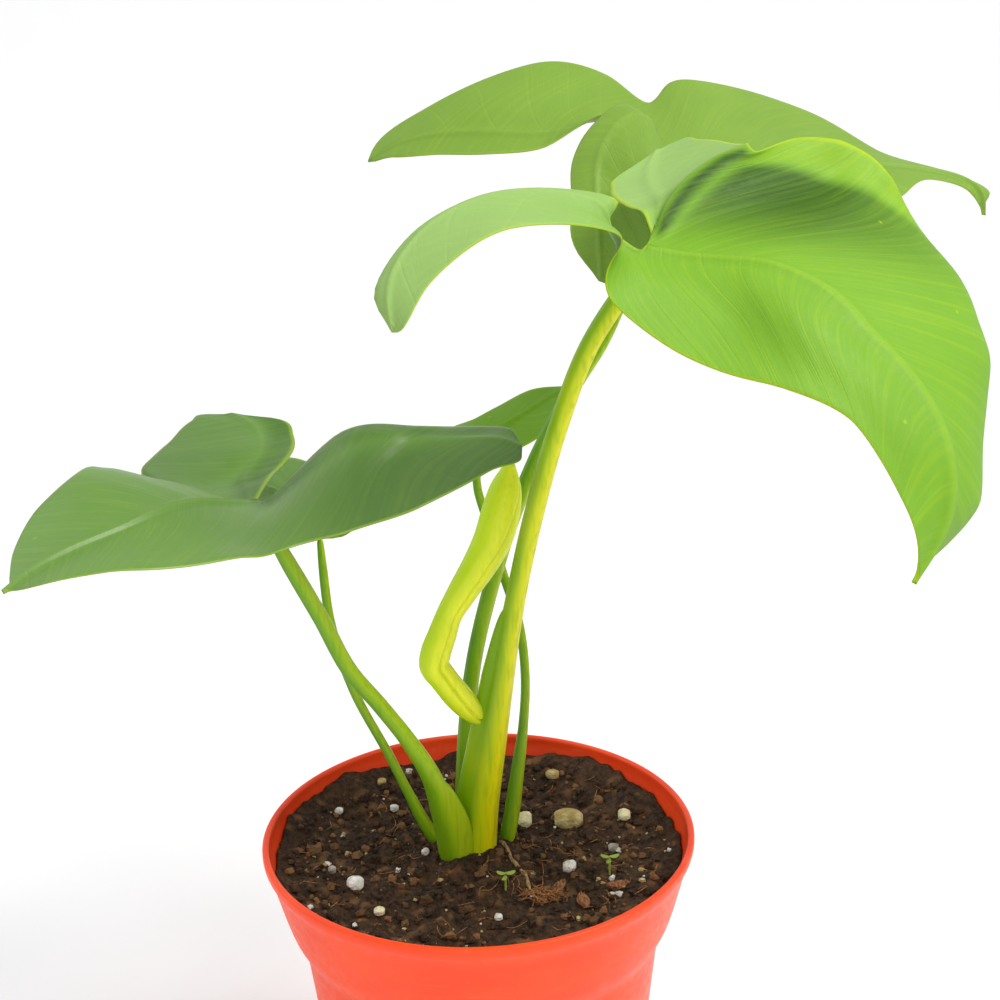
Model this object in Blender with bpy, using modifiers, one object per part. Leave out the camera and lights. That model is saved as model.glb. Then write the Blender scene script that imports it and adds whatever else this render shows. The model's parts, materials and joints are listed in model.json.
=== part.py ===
"""A potted philodendron: five three-lobed leaves on sheathed stalks, in peat soil, in a round nursery pot.

The origin is the centre of the pot's underside. +Z is up, and -Y is the side that the plant leans to.
Lengths are in millimetres, and mm() turns them into Blender's metres.
"""

import bmesh
import bpy
import numpy as np
from mathutils import Matrix, Vector

# Driving dimensions, in millimetres.
POT_HEIGHT = 105.0
RIM_RADIUS = 60.0
NECK_RADIUS = 50.3
FOOT_RADIUS = 41.0
NECK_HEIGHT = 76.5
POT_WALL = 1.3
FLOOR_THICKNESS = 1.6
DRAIN_COUNT = 8
DRAIN_RADIUS = 3.5
DRAIN_CIRCLE = 29.0
SOIL_CENTRE = 96.0
SOIL_EDGE = 94.0
GAP = 0.3
SOCKET_DEPTH = 1.5
BLADE_THICKNESS = 0.7
TURN_STEPS = 48

CROWN_CENTRE = (-2.0, 3.0)
CROWN_TOP = 84.0
CROWN_RADIUS = 11.0
CROWN_DEPTH = 26.0

# Outline of a flat leaf, one unit from the stalk to the tip, which points along +Y. Each half is a ribbon
# that runs from the leaf's tip, past the stalk, to the end of its rear lobe. "along" goes from 0 to 1 down
# the ribbon. The inner edge is the midrib as far as the stalk, and then the rim of the sinus.
STALK = 0.66
INNER_EDGE = (
    (0.00, 0.000, 1.000),
    (0.18, 0.000, 0.780),
    (0.42, 0.000, 0.360),
    (0.60, 0.000, 0.050),
    (0.66, 0.000, 0.000),
    (0.74, 0.030, -0.090),
    (0.84, 0.085, -0.250),
    (0.93, 0.150, -0.400),
    (0.98, 0.210, -0.505),
    (1.00, 0.275, -0.535),
)
MARGIN = (
    (0.00, 0.000, 1.000),
    (0.08, 0.035, 0.925),
    (0.18, 0.130, 0.820),
    (0.30, 0.255, 0.660),
    (0.42, 0.345, 0.480),
    (0.52, 0.382, 0.300),
    (0.60, 0.365, 0.130),
    (0.66, 0.325, 0.000),
    (0.74, 0.335, -0.120),
    (0.84, 0.380, -0.270),
    (0.93, 0.385, -0.410),
    (0.98, 0.340, -0.505),
    (1.00, 0.275, -0.535),
)

# Named marks on a half leaf: how far along the ribbon, and how far across it from midrib to margin.
MARKS = {
    "tip": (0.00, 0.0),
    "neck": (0.08, 1.0),
    "taper": (0.18, 1.0),
    "flank": (0.30, 1.0),
    "elbow": (0.40, 1.0),
    "belly": (0.46, 1.0),
    "upper_shoulder": (0.52, 1.0),
    "shoulder": (0.57, 1.0),
    "corner": (0.62, 1.0),
    "waist": (0.66, 1.0),
    "collar": (0.74, 1.0),
    "lobe_side": (0.84, 1.0),
    "lobe_round": (0.93, 1.0),
    "lobe_end": (1.00, 0.0),
    "lobe_turn": (0.98, 0.0),
    "sinus_low": (0.93, 0.0),
    "sinus_side": (0.84, 0.0),
    "sinus_lip": (0.80, 0.0),
    "sinus_curl": (0.78, 0.0),
    "sinus_root": (0.74, 0.0),
    "stalk": (STALK, 0.0),
    "rib_middle": (0.42, 0.0),
    "rib_outer": (0.30, 0.0),
    "rib_end": (0.18, 0.0),
    "lobe_heart": (0.86, 0.5),
    "cheek": (0.50, 0.55),
    "jaw": (0.36, 0.55),
    "brow": (0.40, 0.62),
    "bend": (0.30, 0.55),
    "chin": (0.18, 0.55),
    "saddle": (0.52, 0.62),
    "crest": (0.46, 0.6),
    "inner_crest": (0.60, 0.55),
    "ridge_inner": (0.695, 0.25),
    "ridge": (0.70, 0.5),
    "ridge_outer": (0.695, 0.78),
    "valley_inner": (0.64, 0.22),
    "valley": (0.64, 0.5),
    "valley_outer": (0.64, 0.78),
    "crease": (0.55, 0.82),
    "crease_end": (0.47, 0.82),
}

# Where each leaf's marks lie in the plant. Right and left are as seen from above, looking to the tip.
FRONT_LEAF = {
    "right stalk": (46.5, -20, 273),
    "right rib_middle": (76, -28, 269.5),
    "right rib_outer": (96, -40, 256),
    "right rib_end": (113, -54, 228.5),
    "right tip": (107, -64, 204),
    "right taper": (100, -64, 224.5),
    "right flank": (89.5, -60, 241),
    "right belly": (70, -56, 249.5),
    "right shoulder": (49.5, -50, 256.5),
    "right corner": (36, -44, 267),
    "right waist": (35.5, -42, 274),
    "right collar": (38, -44, 282),
    "right lobe_side": (13, -56, 287),
    "right lobe_round": (-4.5, -66, 278),
    "right lobe_end": (-13, -70, 268),
    "right lobe_turn": (-17, -64, 274.5),
    "right sinus_low": (-7, -48, 286),
    "right sinus_side": (21.5, -32, 291),
    "right sinus_lip": (39, -28, 286.5),
    "right sinus_curl": (36.5, -30, 282.5),
    "right sinus_root": (42.5, -23, 274.5),
    "right lobe_heart": (7.5, -46, 289.5),
    "right cheek": (65, -40, 260.5),
    "right jaw": (90.5, -50, 249.5),
    "left sinus_root": (48, -12, 274.5),
    "left sinus_side": (44, 0, 279),
    "left sinus_low": (40, 18, 280),
    "left lobe_end": (53, 38, 285.5),
    "left lobe_round": (65, 38, 288.5),
    "left lobe_side": (73.5, 27, 289),
    "left waist": (76, 8, 290.5),
    "left corner": (86, 18, 291.5),
    "left shoulder": (99.5, 22, 290),
    "left belly": (113, 20, 279.5),
    "left elbow": (122, 30, 261.5),
    "left flank": (130.5, 22, 233),
    "left taper": (124.5, -22, 207),
    "left ridge_inner": (51.5, -8, 279.5),
    "left ridge": (58, -1, 286),
    "left ridge_outer": (68, 6, 290.5),
    "left valley_inner": (53.5, -11, 275.5),
    "left valley": (61.5, -3, 282),
    "left valley_outer": (71, 4, 287.5),
    "left crease": (95.5, 16, 281.5),
    "left crease_end": (110.5, 15, 275),
    "left saddle": (94, 0, 276.5),
    "left brow": (125.5, 0, 259),
    "left bend": (132, -12, 240),
    "left chin": (124, -42, 214),
}
LEFT_LEAF = {
    "left stalk": (-53, -12, 208),
    "left rib_middle": (-69, -36, 217),
    "left rib_outer": (-80, -50, 217),
    "left tip": (-104, -72, 210),
    "left taper": (-91, -74, 214),
    "left flank": (-79, -72, 215),
    "left belly": (-65, -66, 213),
    "left shoulder": (-52, -56, 211),
    "left waist": (-42, -46, 209),
    "left collar": (-29, -40, 210),
    "left lobe_side": (-11, -32, 213),
    "left lobe_round": (7, -20, 218),
    "left lobe_end": (15, -10, 220),
    "left lobe_turn": (13, -2, 222),
    "left sinus_low": (4, 4, 222),
    "left sinus_side": (-16, 4, 223),
    "left sinus_curl": (-33, 0, 222),
    "left sinus_root": (-47, -8, 211),
    "left lobe_heart": (-17, -12, 218),
    "right taper": (-105, -56, 214),
    "right flank": (-102, -40, 219),
    "right elbow": (-94, -20, 222),
    "right belly": (-95, -2, 215),
    "right shoulder": (-94, 20, 202),
    "right waist": (-89, 28, 199),
    "right collar": (-90, 34, 203),
    "right lobe_side": (-84, 42, 207),
    "right lobe_round": (-78, 50, 211),
    "right lobe_end": (-66, 52, 212),
    "right lobe_turn": (-55, 48, 212),
    "right sinus_low": (-48, 40, 209),
    "right sinus_side": (-51, 16, 207),
    "right sinus_root": (-53, -4, 208),
    "right crest": (-87, -16, 220),
    "right inner_crest": (-75, -6, 212),
    "right lobe_heart": (-63, 26, 209),
}
BACK_LEAF = {
    "right stalk": (54, 56, 277),
    "right rib_middle": (88, 72, 276),
    "right rib_outer": (113, 82, 272),
    "right rib_end": (135, 90, 268),
    "right tip": (155, 96, 253),
    "left waist": (56, 98, 289),
    "left corner": (61, 104, 292),
    "left upper_shoulder": (73, 110, 293),
    "left belly": (90, 116, 288),
    "left elbow": (108, 116, 281),
    "left flank": (127, 112, 270),
    "left taper": (145, 104, 265),
    "left neck": (158, 100, 259),
    "right neck": (149, 90, 262),
    "right taper": (136, 82, 267),
    "right flank": (126, 70, 265),
    "right belly": (100, 52, 259),
    "right shoulder": (76, 38, 261),
    "right waist": (62, 32, 266),
    "right collar": (57, 28, 265),
    "right lobe_side": (54, 24, 262),
    "right lobe_round": (47, 22, 256),
    "right lobe_end": (37, 26, 254),
    "right lobe_turn": (32, 32, 260),
    "right sinus_low": (31, 42, 273),
    "right sinus_side": (35, 56, 287),
    "right sinus_curl": (46, 66, 294),
    "right sinus_root": (53, 64, 290),
    "right lobe_heart": (43, 42, 275),
    "left sinus_root": (47, 72, 289),
    "left sinus_side": (25, 76, 281),
    "left sinus_low": (-4, 80, 279),
    "left lobe_turn": (-19, 84, 278),
    "left lobe_end": (-26, 88, 276),
    "left lobe_round": (-8, 98, 290),
    "left lobe_side": (23, 108, 300),
    "left collar": (45, 106, 296),
    "left lobe_heart": (13, 90, 291),
}
REAR_LEAF = {
    "right stalk": (4, 58, 201),
    "right rib_outer": (21, 60, 209),
    "right tip": (34, 60, 217),
    "right flank": (28, 54, 211),
    "right belly": (23, 50, 205),
    "right shoulder": (16, 48, 201),
    "left flank": (28, 66, 213),
    "left belly": (19, 70, 211),
    "left shoulder": (10, 72, 206),
    "left waist": (3, 70, 203),
    "left lobe_end": (-8, 70, 196),
    "right waist": (9, 50, 198),
    "right lobe_end": (-3, 51, 195),
    "right sinus_low": (-4, 55, 197),
    "left sinus_low": (-6, 64, 198),
}
LEFT_REAR_LEAF = {
    "left stalk": (-41, 24, 187),
    "left rib_outer": (-56, 44, 192),
    "left tip": (-77, 62, 191),
    "left flank": (-66, 48, 186),
    "left belly": (-58, 36, 185),
    "left waist": (-46, 18, 186),
    "left lobe_end": (-30, 8, 193),
    "left sinus_low": (-28, 14, 195),
    "right flank": (-64, 62, 194),
    "right belly": (-53, 60, 196),
    "right shoulder": (-45, 54, 196),
    "right waist": (-38, 46, 195),
    "right lobe_end": (-23, 38, 193),
    "right sinus_low": (-26, 28, 194),
}

# Routes with a radius at each point: x, y, z, radius. A stalk is widest where its sheath wraps the crown.
STALKS = {
    "stalk_front": (
        (-1.5, 2, 84.5, 4.8), (-1.5, 2, 93, 5.6), (0.5, 1.5, 112, 5.6), (4, 0, 133, 4.9), (7.5, -1.5, 152, 3.7),
        (11, -3, 169.5, 3.0), (18, -6, 202, 3.0), (25, -10, 227.5, 2.9), (32.5, -14, 248, 2.8),
        (40, -17, 261, 2.6), (44.5, -19.5, 268.5, 1.8),
    ),
    "stalk_back": (
        (-3, 10.5, 84.5, 2.0), (-3.5, 12, 97, 3.0), (-3, 13.5, 121, 2.6), (0.5, 16, 150.5, 2.2),
        (5.5, 20, 169, 2.2), (12, 25, 187.5, 2.2), (19.5, 30, 204, 2.1), (29.5, 35, 221, 2.0),
        (39, 40, 234.5, 2.0), (47, 47, 251.5, 1.9), (53, 54.5, 273, 1.4),
    ),
    "stalk_left": (
        (-4, -7, 84.5, 2.8), (-5, -9, 96, 4.2), (-8, -8.5, 113, 4.2), (-12.5, -7.5, 127, 3.0),
        (-17.5, -7, 136.5, 2.3), (-25, -5.5, 147, 2.2), (-32, -6, 157, 2.2), (-39, -8, 174, 2.2),
        (-47, -11, 193, 2.0), (-51.5, -12, 203.5, 1.4),
    ),
    "stalk_left_rear": (
        (-8.3, 6.5, 84.5, 1.4), (-12, 8, 97, 1.9), (-15.5, 8, 104, 1.8), (-19.5, 8, 113.5, 1.4),
        (-24, 9, 124, 1.3), (-33.5, 12, 144, 1.3), (-39, 16.5, 163, 1.3), (-40.5, 21, 177, 1.2),
        (-41, 23.5, 184, 0.9),
    ),
    "stalk_rear": (
        (4.5, 9, 84.5, 1.6), (8, 12, 96, 2.2), (11.5, 15, 115.5, 1.9), (13.5, 17, 128.5, 1.4),
        (14.5, 20, 142.5, 1.3), (13.5, 24, 155, 1.3), (9, 32, 169.5, 1.3), (5, 42, 181.5, 1.3),
        (2.5, 50, 190, 1.2), (3.5, 56, 197.5, 0.9),
    ),
}
ROLLED_LEAF = (
    (-2.6, -3, 142.5, 1.4), (-5, -3, 148, 2.6), (-8, -3, 153, 3.9), (-9.5, -2.5, 158.5, 4.6),
    (-8, -1.5, 164, 4.2), (-5.5, 0, 170, 3.8), (-1.5, 1, 176.5, 4.3), (3, 3, 183, 5.0),
    (7, 5, 190, 5.6), (9.5, 6.5, 197.5, 5.6), (11, 8, 204, 4.4), (12, 9, 209.5, 1.6),
)
DRY_ROOT = (
    (3.5, 8.5, 97.5, 0.6), (7, 2.5, 98, 0.6), (8.5, -3, 97, 0.55), (12, -10, 97, 0.5),
    (13.5, -16, 96.5, 0.45), (14, -22, 96.3, 0.3),
)
# Buried roots, each from the crown's side: compass angle in degrees, reach, depth of its end, radius.
ROOTS = {
    "root_north": (80, 32, 26, 1.7),
    "root_west": (165, 32, 18, 1.5),
    "root_south": (250, 35, 34, 1.6),
    "root_east": (335, 35, 22, 1.4),
}

# Loose bits on the soil: x, y, length, width, height, turn in degrees.
PEBBLES = {
    "pebble_cream": (13, 22, 6.4, 4.6, 4.0, 70),
    "pebble_large": (26, 23, 9.2, 6.6, 5.4, 160),
    "pebble_right": (42, 21, 4.8, 3.8, 3.2, 90),
    "pebble_back": (22, 43, 4.4, 3.6, 2.8, 10),
    "pebble_side": (38, 7, 3.6, 2.8, 2.2, 40),
    "pebble_left": (-29, 42, 3.4, 2.6, 2.0, 120),
    "pebble_front": (-27, -24, 3.4, 2.8, 2.2, 30),
    "pebble_edge": (-41, -4, 3.0, 2.4, 1.8, 75),
}
PERLITE = {
    "perlite_right": (25, -6, 4.0, 3.8, 3.2, 15),
    "perlite_left": (-34, -13, 5.4, 4.6, 3.2, 35),
    "perlite_back": (-25, 31, 2.8, 2.6, 2.2, 60),
    "perlite_far": (-41, 27, 2.8, 2.4, 2.0, 5),
    "perlite_front": (5, -29, 2.6, 2.4, 2.0, 80),
    "perlite_near": (-15, 0, 2.6, 2.2, 1.8, 50),
}
BARK_CHIPS = {
    "bark_centre": (21, -16, 7.2, 3.4, 1.4, 60),
    "bark_front": (28, -24, 6.4, 3.0, 1.3, 100),
    "bark_right": (38, -17, 5.8, 2.2, 1.2, 15),
}
# Green shoots: x, y, height, lean along x.
SHOOTS = {
    "shoot_right": (35, -8, 5.5, 2.0),
    "shoot_front": (8, -18, 5.0, -1.6),
}

# Base colour and roughness of each finish.
FINISHES = {
    "terracotta_plastic": ((0.80, 0.12, 0.03), 0.42),
    "peat": ((0.055, 0.026, 0.012), 0.95),
    "crown_bark": ((0.24, 0.17, 0.07), 0.80),
    "root_tan": ((0.42, 0.27, 0.12), 0.85),
    "leaf_bright": ((0.20, 0.42, 0.03), 0.38),
    "leaf_pale": ((0.24, 0.45, 0.10), 0.45),
    "leaf_deep": ((0.09, 0.24, 0.05), 0.40),
    "leaf_young": ((0.62, 0.72, 0.02), 0.45),
    "stalk_green": ((0.30, 0.45, 0.02), 0.40),
    "pebble_tan": ((0.55, 0.42, 0.22), 0.80),
    "perlite_white": ((0.85, 0.82, 0.76), 0.90),
    "bark_brown": ((0.30, 0.12, 0.04), 0.85),
    "shoot_green": ((0.25, 0.55, 0.05), 0.50),
}


def mm(*values):
    return Vector(values) * 0.001


def clear_scene():
    for obj in list(bpy.data.objects):
        bpy.data.objects.remove(obj, do_unlink=True)


def new_collection(name):
    collection = bpy.data.collections.new(name)
    bpy.context.scene.collection.children.link(collection)
    return collection


def finish(name):
    """The Principled material of this name, made the first time that it is asked for."""
    found = bpy.data.materials.get(name)
    if found:
        return found
    colour, roughness = FINISHES[name]
    made = bpy.data.materials.new(name)
    made.use_nodes = True
    shader = made.node_tree.nodes["Principled BSDF"]
    shader.inputs["Base Color"].default_value = (*colour, 1.0)
    shader.inputs["Roughness"].default_value = roughness
    return made


def add_object(name, data, finish_name):
    obj = bpy.data.objects.new(name, data)
    if finish_name:
        data.materials.append(finish(finish_name))
        PLANT.objects.link(obj)
    else:
        obj.hide_render = True
        obj.display_type = "WIRE"
        CUTTERS.objects.link(obj)
    return obj


def add_mesh(name, bm, finish_name, smooth=True):
    mesh = bpy.data.meshes.new(name)
    bm.to_mesh(mesh)
    bm.free()
    if smooth:
        mesh.shade_smooth()
    return add_object(name, mesh, finish_name)


def turned(name, profile, finish_name, steps=TURN_STEPS, centre=(0.0, 0.0)):
    """A profile of (radius, height) points, from the axis round to the axis, turned about Z."""
    bm = bmesh.new()
    points = [bm.verts.new(mm(radius, 0, height)) for radius, height in profile]
    for first, second in zip(points, points[1:]):
        bm.edges.new((first, second))
    obj = add_mesh(name, bm, finish_name, smooth=False)
    obj.location = mm(*centre, 0)
    screw = obj.modifiers.new("turn", "SCREW")
    screw.axis = "Z"
    screw.steps = steps
    screw.render_steps = steps
    screw.use_merge_vertices = True
    screw.merge_threshold = 1e-6
    return obj


def cut(obj, cutter):
    boolean = obj.modifiers.new("cut " + cutter.name, "BOOLEAN")
    boolean.operation = "DIFFERENCE"
    boolean.object = cutter


def smooth_route(stations, spacing):
    """Points about this far apart on a smooth curve through the stations, with each point's radius."""
    stations = np.array(stations, float)
    steps = np.linalg.norm(np.diff(stations[:, :3], axis=0), axis=1)
    along = np.concatenate([[0.0], np.cumsum(steps)])
    slopes = np.gradient(stations, along, axis=0)
    count = max(2, int(round(along[-1] / spacing)) + 1)
    where = np.linspace(0.0, along[-1], count)
    start = np.clip(np.searchsorted(along, where, side="right") - 1, 0, len(along) - 2)
    reach = (along[start + 1] - along[start])[:, None]
    part = (where - along[start])[:, None] / reach
    return (
        (2 * part**3 - 3 * part**2 + 1) * stations[start]
        + (part**3 - 2 * part**2 + part) * reach * slopes[start]
        + (3 * part**2 - 2 * part**3) * stations[start + 1]
        + (part**3 - part**2) * reach * slopes[start + 1]
    )


def tube(name, stations, finish_name, spacing=6.0, sides=3, grow=0.0, longer=0.0):
    """A round tube with closed ends along the stations, and this much longer at each end.

    Its bevel has 4 + 2 * sides faces round it.
    """
    points = smooth_route(stations, spacing)
    for end, beside in ((0, 1), (-1, -2)):
        outward = points[end, :3] - points[beside, :3]
        points[end, :3] += longer * outward / np.linalg.norm(outward)
    curve = bpy.data.curves.new(name, "CURVE")
    curve.dimensions = "3D"
    curve.bevel_depth = 0.001
    curve.bevel_resolution = sides
    curve.use_fill_caps = True
    spline = curve.splines.new("POLY")
    spline.points.add(len(points) - 1)
    for point, (x, y, z, radius) in zip(spline.points, points):
        point.co = (*mm(x, y, z), 1.0)
        point.radius = radius + grow
    return add_object(name, curve, finish_name)


def socket_cutter(name, stations, **options):
    """The same tube, a little wider and longer, as a closed mesh that can cut its socket."""
    guide = tube(name + "_guide", stations, None, grow=GAP, longer=SOCKET_DEPTH, **options)
    bpy.context.view_layer.update()
    graph = bpy.context.evaluated_depsgraph_get()
    mesh = bpy.data.meshes.new_from_object(guide.evaluated_get(graph))
    bpy.data.objects.remove(guide, do_unlink=True)
    bm = bmesh.new()
    bm.from_mesh(mesh)
    bmesh.ops.remove_doubles(bm, verts=bm.verts[:], dist=1e-6)
    bmesh.ops.recalc_face_normals(bm, faces=bm.faces[:])
    bm.to_mesh(mesh)
    bm.free()
    return add_object(name, mesh, None)


def pot_profile():
    """Outer wall from foot to rim, as (radius, height)."""
    return [
        (FOOT_RADIUS, 0.0),
        (NECK_RADIUS, NECK_HEIGHT),
        (NECK_RADIUS + 0.7, NECK_HEIGHT + 1.5),
        (NECK_RADIUS + 2.1, NECK_HEIGHT + 3.0),
        (NECK_RADIUS + 3.3, NECK_HEIGHT + 5.0),
        (NECK_RADIUS + 4.4, NECK_HEIGHT + 8.5),
        (RIM_RADIUS - 3.6, POT_HEIGHT - 12.0),
        (RIM_RADIUS - 2.6, POT_HEIGHT - 8.0),
        (RIM_RADIUS - 1.2, POT_HEIGHT - 4.0),
        (RIM_RADIUS, POT_HEIGHT - 1.4),
        (RIM_RADIUS, POT_HEIGHT),
    ]


def inner_radius(height):
    """Inner radius of the pot's wall at this height."""
    radii, heights = zip(*pot_profile())
    return float(np.interp(height, heights, radii)) - POT_WALL


def soil_top(radius):
    """Height of the soil at this distance from the axis."""
    return SOIL_CENTRE + (SOIL_EDGE - SOIL_CENTRE) * radius / inner_radius(SOIL_EDGE)


def make_pot():
    outer = pot_profile()
    inner = [(radius - POT_WALL, height) for radius, height in outer[1:]]
    floor_edge = (FOOT_RADIUS - POT_WALL, FLOOR_THICKNESS)
    profile = [(0.0, FLOOR_THICKNESS), floor_edge, *inner, *reversed(outer), (0.0, 0.0)]
    pot = turned("pot", profile, "terracotta_plastic")
    for number in range(DRAIN_COUNT):
        angle = 2 * np.pi * (number + 0.5) / DRAIN_COUNT
        bm = bmesh.new()
        bmesh.ops.create_cone(
            bm, cap_ends=True, segments=12, radius1=DRAIN_RADIUS * 0.001, radius2=DRAIN_RADIUS * 0.001,
            depth=0.01, matrix=Matrix.Translation(mm(DRAIN_CIRCLE * np.cos(angle), DRAIN_CIRCLE * np.sin(angle), 0)),
        )
        cut(pot, add_mesh(f"drain_{number}", bm, None))
    return pot


def crown_profile(grow):
    """The buried stem: a squat turnip shape, from its top round to its foot."""
    middle = CROWN_TOP - 0.5 * CROWN_DEPTH
    return [
        (0.0, CROWN_TOP + grow),
        (CROWN_RADIUS - 2 + grow, CROWN_TOP - 1 + grow),
        (CROWN_RADIUS + grow, CROWN_TOP - 5),
        (CROWN_RADIUS - 1 + grow, middle),
        (CROWN_RADIUS - 4 + grow, CROWN_TOP - CROWN_DEPTH + 3),
        (0.0, CROWN_TOP - CROWN_DEPTH - grow),
    ]


def root_route(angle, reach, depth, radius):
    """A root's stations: out of the crown's side, then bending down."""
    turn = np.radians(angle)
    start = CROWN_TOP - 12
    stations = []
    for share, drop in ((0.0, 0.0), (0.25, 0.10), (0.55, 0.32), (0.82, 0.66), (1.0, 1.0)):
        away = CROWN_RADIUS + 2 * GAP + share * (reach - CROWN_RADIUS)
        height = start - drop * (start - depth)
        x = CROWN_CENTRE[0] + away * np.cos(turn)
        y = CROWN_CENTRE[1] + away * np.sin(turn)
        stations.append((x, y, height, radius * (1.0 - 0.5 * share)))
    return stations


def make_soil():
    """Peat that fills the pot up to 10 mm under the rim, with a socket for each stalk and buried piece."""
    foot = FLOOR_THICKNESS + GAP
    bends = [height for _, height in reversed(pot_profile()) if foot < height < SOIL_EDGE]
    walls = [(inner_radius(height) - GAP, height) for height in (SOIL_EDGE, *bends)]
    profile = [(0.0, SOIL_CENTRE), *walls, (inner_radius(foot) - GAP, foot), (0.0, foot)]
    soil = turned("soil", profile, "peat")
    crown_socket = turned("crown_socket", crown_profile(GAP), None, steps=16, centre=CROWN_CENTRE)
    cut(soil, crown_socket)
    for name, stations in STALKS.items():
        cut(soil, socket_cutter(name + "_socket", stations))
    for name, values in ROOTS.items():
        cut(soil, socket_cutter(name + "_socket", root_route(*values), spacing=8.0, sides=2))
    return soil


def hermite(knots, where):
    """Points on a smooth curve through the knots, each (along, x, y)."""
    knots = np.array(knots)
    along = knots[:, 0]
    points = knots[:, 1:]
    slopes = np.gradient(points, along, axis=0)
    start = np.clip(np.searchsorted(along, where, side="right") - 1, 0, len(along) - 2)
    reach = (along[start + 1] - along[start])[..., None]
    part = (where - along[start])[..., None] / reach
    return (
        (2 * part**3 - 3 * part**2 + 1) * points[start]
        + (part**3 - 2 * part**2 + part) * reach * slopes[start]
        + (3 * part**2 - 2 * part**3) * points[start + 1]
        + (part**3 - part**2) * reach * slopes[start + 1]
    )


def flat_leaf(side, along, across):
    """Where a point of the half leaf lies on the flat leaf. side is 1 for the right half, -1 for the left."""
    inner = hermite(INNER_EDGE, along)
    outer = hermite(MARGIN, along)
    flat = inner + (outer - inner) * across[..., None]
    return flat * (side, 1.0)


def bending(flat, placed):
    """The thin-plate spline that carries the flat points exactly to their places, and all between smoothly."""
    def pull(distance):
        return distance**2 * np.log(distance + 1e-12)

    def plane(points):
        return np.column_stack([np.ones(len(points)), points])

    between = np.linalg.norm(flat[:, None] - flat[None], axis=-1)
    base = plane(flat)
    system = np.block([[pull(between), base], [base.T, np.zeros((3, 3))]])
    weights = np.linalg.solve(system, np.concatenate([placed, np.zeros((3, 3))]))

    def place(points):
        distance = np.linalg.norm(points[:, None] - flat[None], axis=-1)
        return pull(distance) @ weights[: len(flat)] + plane(points) @ weights[len(flat):]

    return place


def leaf_bending(marks):
    flat = []
    for key in marks:
        half, mark = key.split()
        along, across = MARKS[mark]
        side = 1.0 if half == "right" else -1.0
        flat.append(flat_leaf(side, np.array(along), np.array(across)))
    return bending(np.array(flat), np.array(list(marks.values()), float))


def blade(name, marks, finish_name, rows, columns):
    """A leaf blade: a grid for each half, bent into place, joined along the midrib and given a thickness."""
    place = leaf_bending(marks)
    bm = bmesh.new()
    for side in (1.0, -1.0):
        made = bmesh.ops.create_grid(bm, x_segments=rows, y_segments=columns, size=0.5)["verts"]
        along = np.array([vert.co.x + 0.5 for vert in made])
        across = np.array([vert.co.y + 0.5 for vert in made])
        for vert, point in zip(made, place(flat_leaf(side, along, across))):
            vert.co = mm(*point)
        if side > 0:
            bmesh.ops.reverse_faces(bm, faces=list({face for vert in made for face in vert.link_faces}))
    bmesh.ops.remove_doubles(bm, verts=bm.verts[:], dist=1e-5)
    obj = add_mesh(name, bm, finish_name)
    shell = obj.modifiers.new("thickness", "SOLIDIFY")
    shell.thickness = BLADE_THICKNESS * 0.001
    shell.offset = 0.0
    return obj


def lump(name, place, finish_name, detail=2):
    """A rounded bit of stone or perlite that lies on the soil."""
    x, y, length, width, height, turn = place
    bm = bmesh.new()
    bmesh.ops.create_icosphere(bm, subdivisions=detail, radius=0.5)
    obj = add_mesh(name, bm, finish_name)
    obj.data.transform(Matrix.Diagonal((length * 0.001, width * 0.001, height * 0.001, 1.0)))
    obj.location = mm(x, y, soil_top(np.hypot(x, y)) + GAP + 0.5 * height)
    obj.rotation_euler.z = np.radians(turn)
    return obj


def chip(name, place):
    """A flat splinter of bark with worn edges."""
    x, y, length, width, height, turn = place
    bm = bmesh.new()
    bmesh.ops.create_cube(bm, size=1.0)
    bmesh.ops.scale(bm, vec=mm(length, width, height), verts=bm.verts[:])
    bmesh.ops.bevel(bm, geom=bm.edges[:], offset=0.0003, segments=1, affect="EDGES")
    obj = add_mesh(name, bm, "bark_brown", smooth=False)
    lift = soil_top(np.hypot(x, y) - 0.5 * length)
    obj.location = mm(x, y, lift + GAP + 0.5 * height)
    obj.rotation_euler.z = np.radians(turn)
    return obj


def shoot(name, place):
    """A seedling: one slim curved shoot that swells towards its top."""
    x, y, height, lean = place
    foot = soil_top(np.hypot(x, y)) + 2 * GAP
    stations = (
        (x, y, foot, 0.4),
        (x + 0.2 * lean, y, foot + 0.5 * height, 0.6),
        (x + 0.6 * lean, y, foot + 0.8 * height, 1.2),
        (x + lean, y, foot + height, 0.5),
    )
    return tube(name, stations, "shoot_green", spacing=1.5, sides=2)


clear_scene()
PLANT = new_collection("potted_philodendron")
CUTTERS = new_collection("cutters")

make_pot()
make_soil()
turned("stem_crown", crown_profile(0.0), "crown_bark", steps=16, centre=CROWN_CENTRE)
for root_name, root_values in ROOTS.items():
    tube(root_name, root_route(*root_values), "root_tan", spacing=8.0, sides=2)
for stalk_name, stalk_stations in STALKS.items():
    tube(stalk_name, stalk_stations, "stalk_green")
tube("rolled_leaf", ROLLED_LEAF, "leaf_young", spacing=5.0)
tube("dry_root", DRY_ROOT, "root_tan", spacing=4.0, sides=2)
blade("blade_front", FRONT_LEAF, "leaf_bright", 28, 6)
blade("blade_left", LEFT_LEAF, "leaf_deep", 24, 5)
blade("blade_back", BACK_LEAF, "leaf_pale", 24, 5)
blade("blade_rear", REAR_LEAF, "leaf_pale", 14, 3)
blade("blade_left_rear", LEFT_REAR_LEAF, "leaf_deep", 16, 4)
for pebble_name, pebble_place in PEBBLES.items():
    lump(pebble_name, pebble_place, "pebble_tan")
for perlite_name, perlite_place in PERLITE.items():
    lump(perlite_name, perlite_place, "perlite_white")
for chip_name, chip_place in BARK_CHIPS.items():
    chip(chip_name, chip_place)
for shoot_name, shoot_place in SHOOTS.items():
    shoot(shoot_name, shoot_place)
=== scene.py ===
import json

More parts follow.
